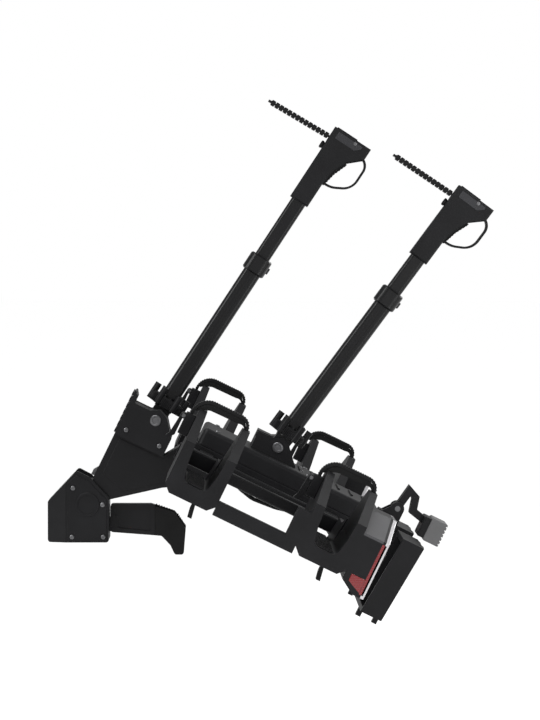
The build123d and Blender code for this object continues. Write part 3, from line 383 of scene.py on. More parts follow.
# Geometry Nodes: an item repeated along a row, round a ring or at given places
def newTree(name, inputs):
    tree = bpy.data.node_groups.new(name, "GeometryNodeTree")
    tree.interface.new_socket("Geometry", in_out="INPUT", socket_type="NodeSocketGeometry")
    for label, kind in inputs:
        tree.interface.new_socket(label, in_out="INPUT", socket_type=kind)
    tree.interface.new_socket("Geometry", in_out="OUTPUT", socket_type="NodeSocketGeometry")
    return tree, tree.nodes.new("NodeGroupInput"), tree.nodes.new("NodeGroupOutput")


# every tree ends in real geometry with one material
def closeTree(tree, source, entry, leave):
    real = tree.nodes.new("GeometryNodeRealizeInstances")
    paint = tree.nodes.new("GeometryNodeSetMaterial")
    tree.links.new(source, real.inputs["Geometry"])
    tree.links.new(real.outputs["Geometry"], paint.inputs["Geometry"])
    tree.links.new(entry.outputs["Material"], paint.inputs["Material"])
    tree.links.new(paint.outputs["Geometry"], leave.inputs["Geometry"])


# a straight row with an equal step
def rowTree():
    tree, entry, leave = newTree("row of items", (
        ("Item", "NodeSocketObject"), ("Count", "NodeSocketInt"), ("Start", "NodeSocketVector"),
        ("Step", "NodeSocketVector"), ("Material", "NodeSocketMaterial"),
    ))
    line = tree.nodes.new("GeometryNodeMeshLine")
    line.mode = "OFFSET"
    item = tree.nodes.new("GeometryNodeObjectInfo")
    place = tree.nodes.new("GeometryNodeInstanceOnPoints")
    link = tree.links.new
    link(entry.outputs["Count"], line.inputs["Count"])
    link(entry.outputs["Start"], line.inputs["Start Location"])
    link(entry.outputs["Step"], line.inputs["Offset"])
    link(entry.outputs["Item"], item.inputs["Object"])
    link(line.outputs["Mesh"], place.inputs["Points"])
    link(item.outputs["Geometry"], place.inputs["Instance"])
    closeTree(tree, place.outputs["Instances"], entry, leave)
    return tree


# a ring about Z, each item turned outwards
def ringTree():
    tree, entry, leave = newTree("ring of items", (
        ("Item", "NodeSocketObject"), ("Count", "NodeSocketInt"), ("Radius", "NodeSocketFloat"),
        ("Material", "NodeSocketMaterial"),
    ))
    circle = tree.nodes.new("GeometryNodeMeshCircle")
    circle.fill_type = "NONE"
    item = tree.nodes.new("GeometryNodeObjectInfo")
    index = tree.nodes.new("GeometryNodeInputIndex")
    share = tree.nodes.new("ShaderNodeMath")
    share.operation = "DIVIDE"
    angle = tree.nodes.new("ShaderNodeMath")
    angle.operation = "MULTIPLY"
    angle.inputs[1].default_value = 2 * pi
    spin = tree.nodes.new("ShaderNodeCombineXYZ")
    place = tree.nodes.new("GeometryNodeInstanceOnPoints")
    link = tree.links.new
    link(entry.outputs["Count"], circle.inputs["Vertices"])
    link(entry.outputs["Radius"], circle.inputs["Radius"])
    link(entry.outputs["Item"], item.inputs["Object"])
    link(index.outputs["Index"], share.inputs[0])
    link(entry.outputs["Count"], share.inputs[1])
    link(share.outputs["Value"], angle.inputs[0])
    link(angle.outputs["Value"], spin.inputs["Z"])
    link(circle.outputs["Mesh"], place.inputs["Points"])
    link(item.outputs["Geometry"], place.inputs["Instance"])
    link(spin.outputs["Vector"], place.inputs["Rotation"])
    closeTree(tree, place.outputs["Instances"], entry, leave)
    return tree


# one item at each point, turned to its way and spun by chance about its own axis
def placesTree():
    tree, entry, leave = newTree("items at places", (
        ("Item", "NodeSocketObject"), ("Turn", "NodeSocketVector"), ("Seed", "NodeSocketInt"),
        ("Material", "NodeSocketMaterial"),
    ))
    item = tree.nodes.new("GeometryNodeObjectInfo")
    spin = tree.nodes.new("FunctionNodeRandomValue")
    spin.data_type = "FLOAT"
    around = tree.nodes.new("ShaderNodeCombineXYZ")
    inner = tree.nodes.new("FunctionNodeEulerToRotation")
    outer = tree.nodes.new("FunctionNodeEulerToRotation")
    both = tree.nodes.new("FunctionNodeRotateRotation")
    both.rotation_space = "LOCAL"
    place = tree.nodes.new("GeometryNodeInstanceOnPoints")
    link = tree.links.new
    link(entry.outputs["Item"], item.inputs["Object"])
    randomMax = [socket for socket in spin.inputs if socket.name == "Max" and socket.type == "VALUE"][0]
    randomMax.default_value = pi
    link(entry.outputs["Seed"], spin.inputs["Seed"])
    randomOut = [socket for socket in spin.outputs if socket.type == "VALUE"][0]
    link(randomOut, around.inputs["Z"])
    link(around.outputs["Vector"], inner.inputs["Euler"])
    link(entry.outputs["Turn"], outer.inputs["Euler"])
    link(outer.outputs["Rotation"], both.inputs["Rotation"])
    link(inner.outputs["Rotation"], both.inputs["Rotate By"])
    link(both.outputs["Rotation"], place.inputs["Rotation"])
    link(entry.outputs["Geometry"], place.inputs["Points"])
    link(item.outputs["Geometry"], place.inputs["Instance"])
    closeTree(tree, place.outputs["Instances"], entry, leave)
    return tree


# items at an equal pitch along an edge path, each lying along it
def alongTree():
    tree, entry, leave = newTree("items along a path", (
        ("Item", "NodeSocketObject"), ("Pitch", "NodeSocketFloat"), ("Material", "NodeSocketMaterial"),
    ))
    curve = tree.nodes.new("GeometryNodeMeshToCurve")
    points = tree.nodes.new("GeometryNodeCurveToPoints")
    points.mode = "LENGTH"
    align = tree.nodes.new("FunctionNodeAlignRotationToVector")
    align.axis = "X"
    align.pivot_axis = "Y"
    item = tree.nodes.new("GeometryNodeObjectInfo")
    place = tree.nodes.new("GeometryNodeInstanceOnPoints")
    link = tree.links.new
    link(entry.outputs["Geometry"], curve.inputs["Mesh"])
    link(curve.outputs["Curve"], points.inputs["Curve"])
    link(entry.outputs["Pitch"], points.inputs["Length"])
    link(points.outputs["Tangent"], align.inputs["Vector"])
    link(entry.outputs["Item"], item.inputs["Object"])
    link(points.outputs["Points"], place.inputs["Points"])
    link(item.outputs["Geometry"], place.inputs["Instance"])
    link(align.outputs["Rotation"], place.inputs["Rotation"])
    closeTree(tree, place.outputs["Instances"], entry, leave)
    return tree


trees = {"row": rowTree(), "ring": ringTree(), "places": placesTree(), "along": alongTree()}
itemStore = {}


# the object that a tree repeats, built once under its name
def item(name, build):
    if name not in itemStore:
        itemStore[name] = bpy.data.objects.new("item_" + name, meshFrom("item_" + name, build))
    return itemStore[name]


# runs one of the trees and hands back a plain mesh
def repeated(treeName, values, points=((0, 0, 0),), links=()):
    base = bpy.data.meshes.new("points")
    base.from_pydata(points, links, [])
    carrier = bpy.data.objects.new("carrier", base)
    scene.collection.objects.link(carrier)
    tree = trees[treeName]
    modifier = carrier.modifiers.new("repeat", "NODES")
    modifier.node_group = tree
    for socket in tree.interface.items_tree:
        if socket.in_out == "INPUT" and socket.name in values:
            modifier[socket.identifier] = values[socket.name]
    bpy.context.view_layer.update()
    graph = bpy.context.evaluated_depsgraph_get()
    mesh = bpy.data.meshes.new_from_object(carrier.evaluated_get(graph))
    carrier.modifiers.remove(modifier)
    bpy.data.objects.remove(carrier)
    return mesh


# one mesh from several (mesh, matrix) pairs that share a material
def joined(name, parts, material):
    bm = bmesh.new()
    for mesh, matrix in parts:
        start = len(bm.verts)
        bm.from_mesh(mesh)
        bm.verts.ensure_lookup_table()
        bmesh.ops.transform(bm, matrix=matrix, verts=bm.verts[start:])
    result = bpy.data.meshes.new(name)
    bm.to_mesh(result)
    bm.free()
    result.materials.append(material)
    return result


# button head with a hexagon socket, standing on Z = 0, in shares of its radius and height
buttonHead = {
    "segments": 24,
    "sink": 0.0002,
    "profileShares": ((1.0, 0.35), (0.88, 0.8), (0.66, 1.0)),
    "socketShare": 0.5,
    "socketFloorShare": 0.35,
}


def hexagonInto(bm, radius, z, segments):
    ring = []
    for i in range(segments):
        around = 2 * pi * i / segments
        within = (around % (pi / 3)) - pi / 6
        reach = radius * cos(pi / 6) / cos(within)
        ring.append(bm.verts.new((reach * cos(around), reach * sin(around), z)))
    return ring


def screwBuild(radius, height):
    def build(bm):
        segments = buttonHead["segments"]
        rings = [ringInto(bm, radius, -buttonHead["sink"], segments)]
        for across, up in buttonHead["profileShares"]:
            rings.append(ringInto(bm, radius * across, height * up, segments))
        for z in (height, height * buttonHead["socketFloorShare"]):
            rings.append(hexagonInto(bm, radius * buttonHead["socketShare"], z, segments))
        for lower, upper in zip(rings, rings[1:]):
            bridgeInto(bm, lower, upper)
        bm.faces.new(rings[-1])
        bm.faces.new(list(reversed(rings[0])))
    return build


# dished cap of a pin or rivet, in shares of its radius and height
dishedCap = {
    "sink": 0.0002,
    "profileShares": ((1, 0.5), (0.9, 0.9), (0.62, 1), (0.55, 0.7), (0, 0.7)),
}


def capBuild(radius, height):
    def build(bm):
        profile = [(0, -dishedCap["sink"]), (radius, -dishedCap["sink"])]
        profile += [(radius * across, height * up) for across, up in dishedCap["profileShares"]]
        latheInto(bm, profile)
    return build


# rib with its middle on Z, standing on Z = 0
def ribBuild(x, y, z, width):
    def build(bm):
        boxInto(bm, (-x / 2, -y / 2, 0), (x / 2, y / 2, z), width, 1)
    return build


# round bar along Y with tapered ends
def barInto(bm, radius, half, taper, segments, place=None):
    turn = Matrix.Rotation(radians(90), 4, "X")
    straight = half - taper
    profile = ((0, -half), (radius, -straight), (radius, straight), (0, half))
    latheInto(bm, profile, segments, turn if place is None else Matrix.Translation(place) @ turn)


# ways that a screw or cap may face, as Euler angles of its own +Z
facing = {
    "up": (0, 0, 0),
    "left": (pi / 2, 0, 0),
    "right": (-pi / 2, 0, 0),
    "rear": (0, pi / 2, 0),
    "front": (0, -pi / 2, 0),
}


fixingSeed = 3  # spins the screws by chance, but the same on every run


# steel screws or caps at places, each group with the way that it faces
def fixings(name, body, itemName, build, groups, matrix=tiltFrame):
    steel = materials["steel"]
    parts = []
    for way, points in groups:
        values = {"Item": item(itemName, build), "Turn": facing[way], "Seed": fixingSeed, "Material": steel}
        parts.append((repeated("places", values, points), matrix))
    addPiece(name, joined(name, parts, steel), body, "steel")


# the same places on the left and on the right, facing outwards
def bothSides(y, places):
    return [
        ("left", [(x, -y, z) for x, z in places]),
        ("right", [(x, y, z) for x, z in places]),
    ]


sides = (("left", -1), ("right", 1))

# screws of the coupling, the arm base and the beam cover
screws = {
    "radius": 0.0045,
    "height": 0.0026,
    "couplingY": 0.0512,
    "couplingPlaces": ((-0.008, -0.016), (0.048, -0.016), (0.047, 0.042), (-0.006, 0.072)),
    "baseY": 0.062,
    "basePlaces": ((0.004, 0.152), (0.070, 0.152)),
    "coverZ": 0.222,
    "coverOuter": ((0.152, 0.330, 0.452), 0.106),
    "coverInner": ((0.318,), 0.060),
}
screwShape = screwBuild(screws["radius"], screws["height"])
couplingGroups = bothSides(screws["couplingY"], screws["couplingPlaces"])
fixings("screws_coupling", "coupling", "screw", screwShape, couplingGroups, Matrix.Identity(4))
platformGroups = bothSides(screws["baseY"], screws["basePlaces"])
for places, reach in (screws["coverOuter"], screws["coverInner"]):
    platformGroups.append(("up", [(x, y, screws["coverZ"]) for x in places for y in (-reach, reach)]))
fixings("screws_platform", "platform", "screw", screwShape, platformGroups)

# caps on the ends of the arm pins
pinCap = {"radius": 0.010, "height": 0.0025, "y": 0.062}
armCaps = []
for arm in rack["arms"].values():
    armCaps += bothSides(pinCap["y"], [(arm["x"], arm["z"])])
fixings("arm_pin_caps", "platform", "pin_cap", capBuild(pinCap["radius"], pinCap["height"]), armCaps)

# small screws of each wing, and the rivets of its strap buckles
wingScrews = {
    "radius": 0.0034,
    "height": 0.0018,
    "lampX": 0.472,
    "lampPlaces": ((0.463, 0.116), (0.640, 0.116), (0.463, 0.229)),
    "hingePlaces": ((0.106, 0.168), (0.250, 0.168), (0.420, 0.168)),
    "hingeY": 0.216,
}
rivet = {"radius": 0.0034, "height": 0.0010, "behindTray": 0.0655, "half": 0.0180, "z": 0.242}
for side, sign in sides:
    groups = [
        ("rear", [(wingScrews["lampX"], sign * y, z) for y, z in wingScrews["lampPlaces"]]),
        (side, [(x, sign * wingScrews["hingeY"], z) for x, z in wingScrews["hingePlaces"]]),
    ]
    smallScrew = screwBuild(wingScrews["radius"], wingScrews["height"])
    fixings("screws_wing_" + side, "wing_" + side, "small_screw", smallScrew, groups)
    rivets = []
    for trayX in rack["trays"].values():
        for way, y in (("left", -rivet["half"]), ("right", rivet["half"])):
            rivets.append((way, [(trayX - rivet["behindTray"], sign * rack["strapY"] + y, rivet["z"])]))
    rivetShape = capBuild(rivet["radius"], rivet["height"])
    fixings("rivets_" + side, "wing_" + side, "rivet", rivetShape, rivets)
print("screws and caps placed")

# anti-slip ribs on the floor of each wheel channel: in its deep pocket and along its shallow run
tread = {
    "x": 0.034,
    "y": 0.0032,
    "z": 0.0018,
    "round": 0.0007,
    "pocketMargin": 0.010,
    "pocketCount": 27,
    "pocketZ": 0.150,
    "runStartY": 0.224,
    "runPitch": 0.0104,
    "runCount": 16,
    "runZ": 0.146,
}


def treads(side, sign):
    plastic = materials["black_plastic"]
    rib = item("tread", ribBuild(tread["x"], tread["y"], tread["z"], tread["round"]))
    start = rack["pocketY"] + tread["pocketMargin"]
    end = rack["halfWidth"] - tread["pocketMargin"]
    pocketPitch = (end - start) / (tread["pocketCount"] - 1)
    rows = (
        (start, tread["pocketZ"], pocketPitch, tread["pocketCount"]),
        (tread["runStartY"], tread["runZ"], tread["runPitch"], tread["runCount"]),
    )
    parts = []
    for trayX in rack["trays"].values():
        for y, z, pitch, count in rows:
            mesh = repeated("row", {
                "Item": rib,
                "Count": count,
                "Start": (trayX, sign * y, z),
                "Step": (0, sign * pitch, 0),
                "Material": plastic,
            })
            parts.append((mesh, tiltFrame))
    addPiece("tread_" + side, joined("tread_" + side, parts, plastic), "wing_" + side, "black_plastic")


for side, sign in sides:
    treads(side, sign)

# grip ridges round each lock nut
nutRidge = {
    "low": (-0.0012, -0.0010, 0.0),
    "high": (0.0014, 0.0010, 0.0135),
    "round": 0.0004,
    "count": 60,
    "ringRadius": 0.0308,
    "z": 0.0262,
}


def nutRidgeInto(bm):
    boxInto(bm, nutRidge["low"], nutRidge["high"], nutRidge["round"], 1)


for armName in rack["arms"]:
    mesh = repeated("ring", {
        "Item": item("nut_ridge", nutRidgeInto),
        "Count": nutRidge["count"],
        "Radius": nutRidge["ringRadius"],
        "Material": materials["black_plastic"],
    })
    mesh.transform(armFrame(armName) @ Matrix.Translation((0, 0, nutRidge["z"])))
    addPiece("nut_ridges_" + armName, mesh, "nut_" + armName, "black_plastic")
print("treads and ridges made")

# lamp lens in three coloured fields and its fine flutes, with a rim of clear lens round it whose pale colour
# paints the highlight along the lit lens edge
lamp = {
    "rearX": 0.472,
    "frontX": 0.4628,
    "innerY": 0.457,
    "clearEndY": 0.5080,
    "amberEndY": 0.5600,
    "outerY": 0.650,
    "fieldGap": 0.0012,
    "low": 0.110,
    "slopeY": 0.565,
    "slopeZ": 0.200,
    "top": 0.235,
    "round": 0.0016,
}
lampWrap = {"frontX": 0.438, "low": 0.1235, "lift": 0.0004, "top": 0.136, "thick": 0.0114, "round": 0.0010}
lampFlute = {
    "x": 0.0014,
    "y": 0.0026,
    "round": 0.0009,
    "pitch": 0.0042,
    "inset": 0.0045,
    "sideMargin": 0.006,
    "endMargin": 0.005,
}
lampHighlightRim = {
    "x": (0.4665, 0.4735),
    "out": 0.005,
    "lap": 0.0005,
    "sideLap": 0.0045,
    "slopeUp": 0.0015,
    "slopeIn": 0.0010,
    "round": 0.0008,
}
lampFields = (
    ("clear", lamp["innerY"], lamp["clearEndY"]),
    ("amber", lamp["clearEndY"] + lamp["fieldGap"], lamp["amberEndY"]),
    ("red", lamp["amberEndY"] + lamp["fieldGap"], lamp["outerY"]),
)


def lensPiece(side, sign):
    low, top, outerY = lamp["low"], lamp["top"], lamp["outerY"]

    def paintNew(bm, before, index):
        for face in bm.faces:
            if face not in before:
                face.material_index = index

    def build(bm):
        for index, (colorName, start, end) in enumerate(lampFields):
            before = set(bm.faces)
            outline = [(start, low), (end, low), (end, top), (start, top)]
            if end == outerY:
                outline[2:3] = [(outerY, lamp["slopeZ"]), (lamp["slopeY"], top)]
            rearPoints = [(lamp["rearX"], sign * y, z) for y, z in outline]
            frontPoints = [(lamp["frontX"], sign * y, z) for y, z in outline]
            rearFace = solidInto(bm, rearPoints, frontPoints)[0]
            bmesh.ops.bevel(
                bm, geom=list(rearFace.edges), offset=lamp["round"], segments=3, affect="EDGES", profile=0.6)
            paintNew(bm, before, index)
        # the red field reaches round the outer side
        before = set(bm.faces)
        outline = [
            (lampWrap["frontX"], lampWrap["low"]),
            (lamp["frontX"], low + lampWrap["lift"]),
            (lamp["frontX"], lampWrap["top"]),
            (lampWrap["frontX"], lampWrap["top"]),
        ]
        y = sorted((sign * (outerY - lampWrap["thick"]), sign * outerY))
        prismInto(bm, outline, y, lampWrap["round"])
        paintNew(bm, before, len(lampFields) - 1)

    mesh = meshFrom("lens_" + side, build, tiltFrame)
    for colorName, start, end in lampFields:
        mesh.materials.append(lensColors[colorName])
    addPiece("lens_" + side, mesh, "wing_" + side, "red_lens", replaced=("lamp_lens_" + side,))


# flutes on the rear face, in the field's own colour
def flutePieces(side, sign):
    for colorName, start, end in lampFields:
        name = "flutes_" + colorName + "_" + side
        top = lamp["slopeZ"] if end == lamp["outerY"] else lamp["top"]
        height = top - lamp["low"] - 2 * lampFlute["endMargin"]
        rib = ribBuild(lampFlute["x"], lampFlute["y"], height, lampFlute["round"])
        firstY = sign * (start + lampFlute["inset"])
        mesh = repeated("row", {
            "Item": item("flute_" + colorName, rib),
            "Count": int((end - start - lampFlute["sideMargin"]) / lampFlute["pitch"]),
            "Start": (lamp["rearX"], firstY, lamp["low"] + lampFlute["endMargin"]),
            "Step": (0, sign * lampFlute["pitch"], 0),
            "Material": lensColors[colorName],
        })
        mesh = joined(name, [(mesh, tiltFrame)], lensColors[colorName])
        addPiece(name, mesh, "wing_" + side, "red_lens")


# pale rim round the lens in the clear lens colour, a painted highlight standing for the light caught along
# the lens edge
def highlightRimPiece(side, sign):
    out, lap = lampHighlightRim["out"], lampHighlightRim["lap"]
    outerOutline = [
        (lamp["innerY"] - out, lamp["low"] - out),
        (lamp["outerY"], lamp["low"] - out),
        (lamp["outerY"], lamp["slopeZ"] + out),
        (lamp["slopeY"], lamp["top"] + out),
        (lamp["innerY"] - out, lamp["top"] + out),
    ]
    innerOutline = [
        (lamp["innerY"] + lap, lamp["low"] + lap),
        (lamp["outerY"] - lampHighlightRim["sideLap"], lamp["low"] + lap),
        (lamp["outerY"] - lampHighlightRim["sideLap"], lamp["slopeZ"] + lampHighlightRim["slopeUp"]),
        (lamp["slopeY"] - lampHighlightRim["slopeIn"], lamp["top"] - lap),
        (lamp["innerY"] + lap, lamp["top"] - lap),
    ]

    def build(bm):
        rings = []
        for outline, places in ((outerOutline, lampHighlightRim["x"]), (innerOutline, reversed(lampHighlightRim["x"]))):
            for x in places:
                rings.append([bm.verts.new((x, sign * y, z)) for y, z in outline])
        for lower, upper in zip(rings, rings[1:] + rings[:1]):
            bridgeInto(bm, lower, upper)
        roundEdges(bm, list(bm.verts), lampHighlightRim["round"], 2)

    mesh = meshFrom("lens_rim_" + side, build, tiltFrame)
    addPiece("lens_rim_" + side, mesh, "wing_" + side, "red_lens", lensColors["clear"])


for side, sign in sides:
    lensPiece(side, sign)
    flutePieces(side, sign)
    highlightRimPiece(side, sign)
print("lamps made")


# one thin raised panel on the left and one on the right
def sidePanels(stem, body, slotName, panel, matrix=None):
    for side, sign in sides:
        def build(bm):
            y = sorted(sign * reach for reach in panel["y"])
            prismInto(bm, panel["outline"], y, panel["round"])

        name = stem + "_" + side
        addPiece(name, meshFrom(name, build, matrix), body, slotName)


# panels of the coupling, following its cheeks
couplingPanel = {
    "outline": [
        (-0.0165, -0.0225),
        (0.0545, -0.0225),
        (0.0545, 0.0505),
        (0.0215, 0.0850),
        (0.0010, 0.0955),
        (-0.0165, 0.0800),
    ],
    "y": (0.0495, 0.0514),
    "round": 0.0007,
}
sidePanels("panel", "coupling", "black_plastic", couplingPanel)

# ridges across the palm of the clamp lever
palmRidge = {
    "radius": 0.0012,
    "half": 0.0125,
    "taper": 0.0007,
    "segments": 10,
    "rows": (
        {"Start": (0.1430, 0, 0.0385), "Step": (0.0046, 0, -0.0017), "Count": 7},
        {"Start": (0.1815, 0, 0.0205), "Step": (0.0024, 0, -0.0036), "Count": 4},
    ),
}


def palmRidgeInto(bm):
    barInto(bm, palmRidge["radius"], palmRidge["half"], palmRidge["taper"], palmRidge["segments"])


parts = []
for row in palmRidge["rows"]:
    values = {"Item": item("palm_ridge", palmRidgeInto), "Material": materials["black_rubber"], **row}
    parts.append((repeated("row", values), Matrix.Identity(4)))
addPiece("palm_ridges", joined("palm_ridges", parts, materials["black_rubber"]), "lever", "black_rubber")
print("coupling dressed")


# points of a path in X and Z with its inner corners rounded
def roundedPath(corners, radii, steps=8):
    corners = [Vector((x, 0, z)) for x, z in corners]
    result = [corners[0]]
    for i, radius in enumerate(radii, 1):
        before, here, after = corners[i - 1:i + 2]
        back = (before - here).normalized()
        ahead = (after - here).normalized()
        half = back.angle(ahead) / 2
        reach = radius / tan(half)
        centre = here + (back + ahead).normalized() * (radius / sin(half))
        start = here + back * reach - centre
        end = here + ahead * reach - centre
        sweep = start.angle(end)
        for k in range(steps + 1):
            share = k / steps
            point = (start * sin((1 - share) * sweep) + end * sin(share * sweep)) / sin(sweep)
            result.append(centre + point)
    result.append(corners[-1])
    return result


# wheel straps: the way that each takes from its buckle over to the far wall of its tray
wheelStrap = {
    "front": 0.0545,
    "rear": 0.0395,
    "low": 0.250,
    "top": 0.2815,
    "radii": (0.028, 0.017),
}
strapTooth = {
    "low": (-0.0010, -0.0095, 0.0022),
    "high": (0.0010, 0.0095, 0.0034),
    "round": 0.0003,
    "pitch": 0.0042,
    "from": 0.252,
}
# soft sleeve on the inner side, thickest past the buckle and thin at the far wall
strapSleeve = {
    "half": 0.0122,
    "gap": 0.0028,
    "thin": 0.0012,
    "thick": 0.0105,
    "peakShare": 0.30,
    "from": 0.2545,
    "round": 0.0004,
}


def strapPath(trayX, lowest):
    front, rear = trayX - wheelStrap["front"], trayX + wheelStrap["rear"]
    low, top = wheelStrap["low"], wheelStrap["top"]
    path = roundedPath([(front, low), (front, top), (rear, top), (rear, low)], wheelStrap["radii"])
    return [point for point in path if point.z > lowest]


def toothInto(bm):
    boxInto(bm, strapTooth["low"], strapTooth["high"], strapTooth["round"], 1)


# teeth on the outer side of each strap
def strapTeeth(side, sign):
    plastic = materials["strap_plastic"]
    values = {"Item": item("strap_tooth", toothInto), "Pitch": strapTooth["pitch"], "Material": plastic}
    parts = []
    for trayX in rack["trays"].values():
        path = strapPath(trayX, strapTooth["from"])
        points = [(point.x, sign * rack["strapY"], point.z) for point in path]
        links = [(i, i + 1) for i in range(len(points) - 1)]
        parts.append((repeated("along", values, points, links), tiltFrame))
    mesh = joined("strap_teeth_" + side, parts, plastic)
    addPiece("strap_teeth_" + side, mesh, "wing_" + side, "strap_plastic")


def sleeveInto(bm, trayX, y):
    path = strapPath(trayX, strapSleeve["from"])
    last = len(path) - 1
    peak = strapSleeve["peakShare"]
    outer, inner = [], []
    for i, point in enumerate(path):
        ahead = path[min(i + 1, last)] - path[max(i - 1, 0)]
        inward = Vector((ahead.z, 0, -ahead.x)).normalized()
        share = i / last
        rise = share / peak if share < peak else (1 - share) / (1 - peak)
        thick = strapSleeve["thin"] + (strapSleeve["thick"] - strapSleeve["thin"]) * sin(rise * pi / 2)
        near = point + inward * strapSleeve["gap"]
        far = point + inward * (strapSleeve["gap"] + thick)
        outer.append((near.x, near.z))
        inner.append((far.x, far.z))
    limits = (y - strapSleeve["half"], y + strapSleeve["half"])
    prismInto(bm, outer + list(reversed(inner)), limits, strapSleeve["round"], 1)


def strapSleeves(side, sign):
    def build(bm):
        for trayX in rack["trays"].values():
            sleeveInto(bm, trayX, sign * rack["strapY"])

    mesh = meshFrom("strap_sleeves_" + side, build, tiltFrame)
    addPiece("strap_sleeves_" + side, mesh, "wing_" + side, "black_rubber")


for side, sign in sides:
    strapTeeth(side, sign)
    strapSleeves(side, sign)
print("straps toothed")

# soft ribbed pad on the rear of each head, along a line in X and Z
headPad = {
    "line": [(0.0340, -0.0460), (0.0237, -0.0730), (0.0185, -0.1000)],
    "thickX": 0.0028,
    "dropZ": 0.0010,
    "half": 0.0135,
    "round": 0.0008,
}
padRib = {
    "count": 9,
    "start": 0.7,
    "span": 9.4,
    "x": 0.0026,
    "z": -0.0008,
    "radius": 0.0011,
    "half": 0.0125,
    "taper": 0.0005,
    "segments": 8,
}


def padInto(bm):
    line = headPad["line"]
    outer = [(x + headPad["thickX"], z - headPad["dropZ"]) for x, z in line]
    limits = (-headPad["half"], headPad["half"])
    prismInto(bm, line + list(reversed(outer)), limits, headPad["round"])
    for i in range(padRib["count"]):
        along = 2 * (i + padRib["start"]) / padRib["span"]
        k = int(along)
        here, after = Vector(line[k]), Vector(line[k + 1])
        x, z = here + (after - here) * (along - k)
        place = (x + padRib["x"], 0, z + padRib["z"])
        barInto(bm, padRib["radius"], padRib["half"], padRib["taper"], padRib["segments"], place)


# panels on the sides of each head, beside its release lever, in a lighter grey that paints the sheen on the
# heads' sides
headPanel = {
    "outline": [
        (-0.0080, -0.0045),
        (0.0430, -0.0045),
        (0.0430, -0.0100),
        (0.0330, -0.0185),
        (-0.0080, -0.0185),
    ],
    "y": (0.0165, 0.0178),
    "round": 0.0005,
    "rivetX": 0.028,
    "rivetZ": -0.0070,
}


def headPanelsInto(bm):
    for sign in (-1, 1):
        prismInto(bm, headPanel["outline"], sorted(sign * y for y in headPanel["y"]), headPanel["round"])


# knob on the front of each head, below the tail of its strap, from (radius, height) pairs
headKnob = {
    "profile": (
        (0, -0.0010),
        (0.0062, -0.0010),
        (0.0062, 0.0020),
        (0.0072, 0.0026),
        (0.0072, 0.0056),
        (0.0062, 0.0066),
        (0.0040, 0.0070),
        (0, 0.0070),
    ),
    "segments": 24,
    "at": (-0.0183, 0, -0.0400),
}


def knobInto(bm):
    place = Matrix.Translation(headKnob["at"]) @ Matrix.Rotation(radians(-90), 4, "Y")
    latheInto(bm, headKnob["profile"], headKnob["segments"], place)


# bars across the tail of the toothed strap, which rises a little towards the head
tailBar = {
    "half": (0.0036, 0.0098, 0.0052),
    "round": 0.0009,
    "start": (-0.1362, 0, -0.0266),
    "pitch": 0.0086,
    "rise": 0.006 / 0.127,
    "count": 14,
}


def tailBarInto(bm):
    half = Vector(tailBar["half"])
    boxInto(bm, -half, half, tailBar["round"], 1)


def tailBars(armName):
    plastic = materials["strap_plastic"]
    mesh = repeated("row", {
        "Item": item("tail_bar", tailBarInto),
        "Count": tailBar["count"],
        "Start": tailBar["start"],
        "Step": (tailBar["pitch"], 0, tailBar["pitch"] * tailBar["rise"]),
        "Material": plastic,
    })
    mesh = joined("tail_bars_" + armName, [(mesh, headFrame(armName))], plastic)
    addPiece("tail_bars_" + armName, mesh, "head_" + armName, "strap_plastic")


for armName in rack["arms"]:
    place = headFrame(armName)
    body = "head_" + armName
    mesh = meshFrom("head_pad_" + armName, padInto, place)
    addPiece("head_pad_" + armName, mesh, body, "black_rubber")
    rivetShape = capBuild(rivet["radius"], rivet["height"])
    groups = bothSides(headPanel["y"][1], [(headPanel["rivetX"], headPanel["rivetZ"])])
    fixings("head_rivets_" + armName, body, "rivet", rivetShape, groups, place)
    mesh = meshFrom("head_panels_" + armName, headPanelsInto, place)
    addPiece("head_panels_" + armName, mesh, body, "black_plastic", materials["head_sheen_grey"])
    mesh = meshFrom("head_knob_" + armName, knobInto, place)
    addPiece("head_knob_" + armName, mesh, body, "black_plastic")
    tailBars(armName)
print("heads dressed")

# glands where the lamp cable leaves the cross members, from (radius, height) pairs
cableGland = {
    "x": (0.230, 0.335),
    "y": -0.070,
    "z": 0.156,
    "profile": (
        (0, 0.0005),
        (0.0085, 0.0005),
        (0.0085, -0.0030),
        (0.0066, -0.0040),
        (0.0066, -0.0052),
        (0.0062, -0.0056),
        (0.0062, -0.0068),
        (0.0058, -0.0072),
        (0.0058, -0.0084),
        (0.0046, -0.0095),
        (0, -0.0095),
    ),
    "segments": 20,
}


def glandsInto(bm):
    for x in cableGland["x"]:
        place = Matrix.Translation((x, cableGland["y"], cableGland["z"]))
        latheInto(bm, cableGland["profile"], cableGland["segments"], place)


addPiece("cable_glands", meshFrom("cable_glands", glandsInto, tiltFrame), "platform", "black_rubber")

# washers on the ends of the wing hinge pins
washer = {"radius": 0.0090, "height": 0.0022, "x": (0.150, 0.394), "reach": 0.026, "y": 0.174, "z": 0.168}
washers = []
for sign in (-1, 1):
    for x in washer["x"]:
        for way, reach in (("front", -washer["reach"]), ("rear", washer["reach"])):
            washers.append((way, [(x + reach, sign * washer["y"], washer["z"])]))
fixings("hinge_washers", "platform", "washer", capBuild(washer["radius"], washer["height"]), washers)

# number plate holder: ribs inside its tray and the clips that grip a plate
plateHolder = {
    "lean": 0.012 / 0.146,
    "lowZ": 0.058,
    "highZ": 0.204,
    "floorX": 0.540,
    "faceX": 0.548,
}
plateRib = {
    "eachWay": 4,
    "pitch": 0.052,
    "limits": (0.068, 0.194),
    "middleLimits": (0.070, 0.150),
    "middleReach": 0.040,
    "deep": 0.003,
    "half": 0.0016,
    "round": 0.0005,
}
plateClip = {
    "y": (-0.215, -0.120, 0.120, 0.215),
    "half": 0.014,
    "lip": 0.010,
    "behind": 0.0090,
    "ahead": 0.0022,
    "round": 0.0009,
}


def leaningX(x, z):
    return x + (z - plateHolder["lowZ"]) * plateHolder["lean"]


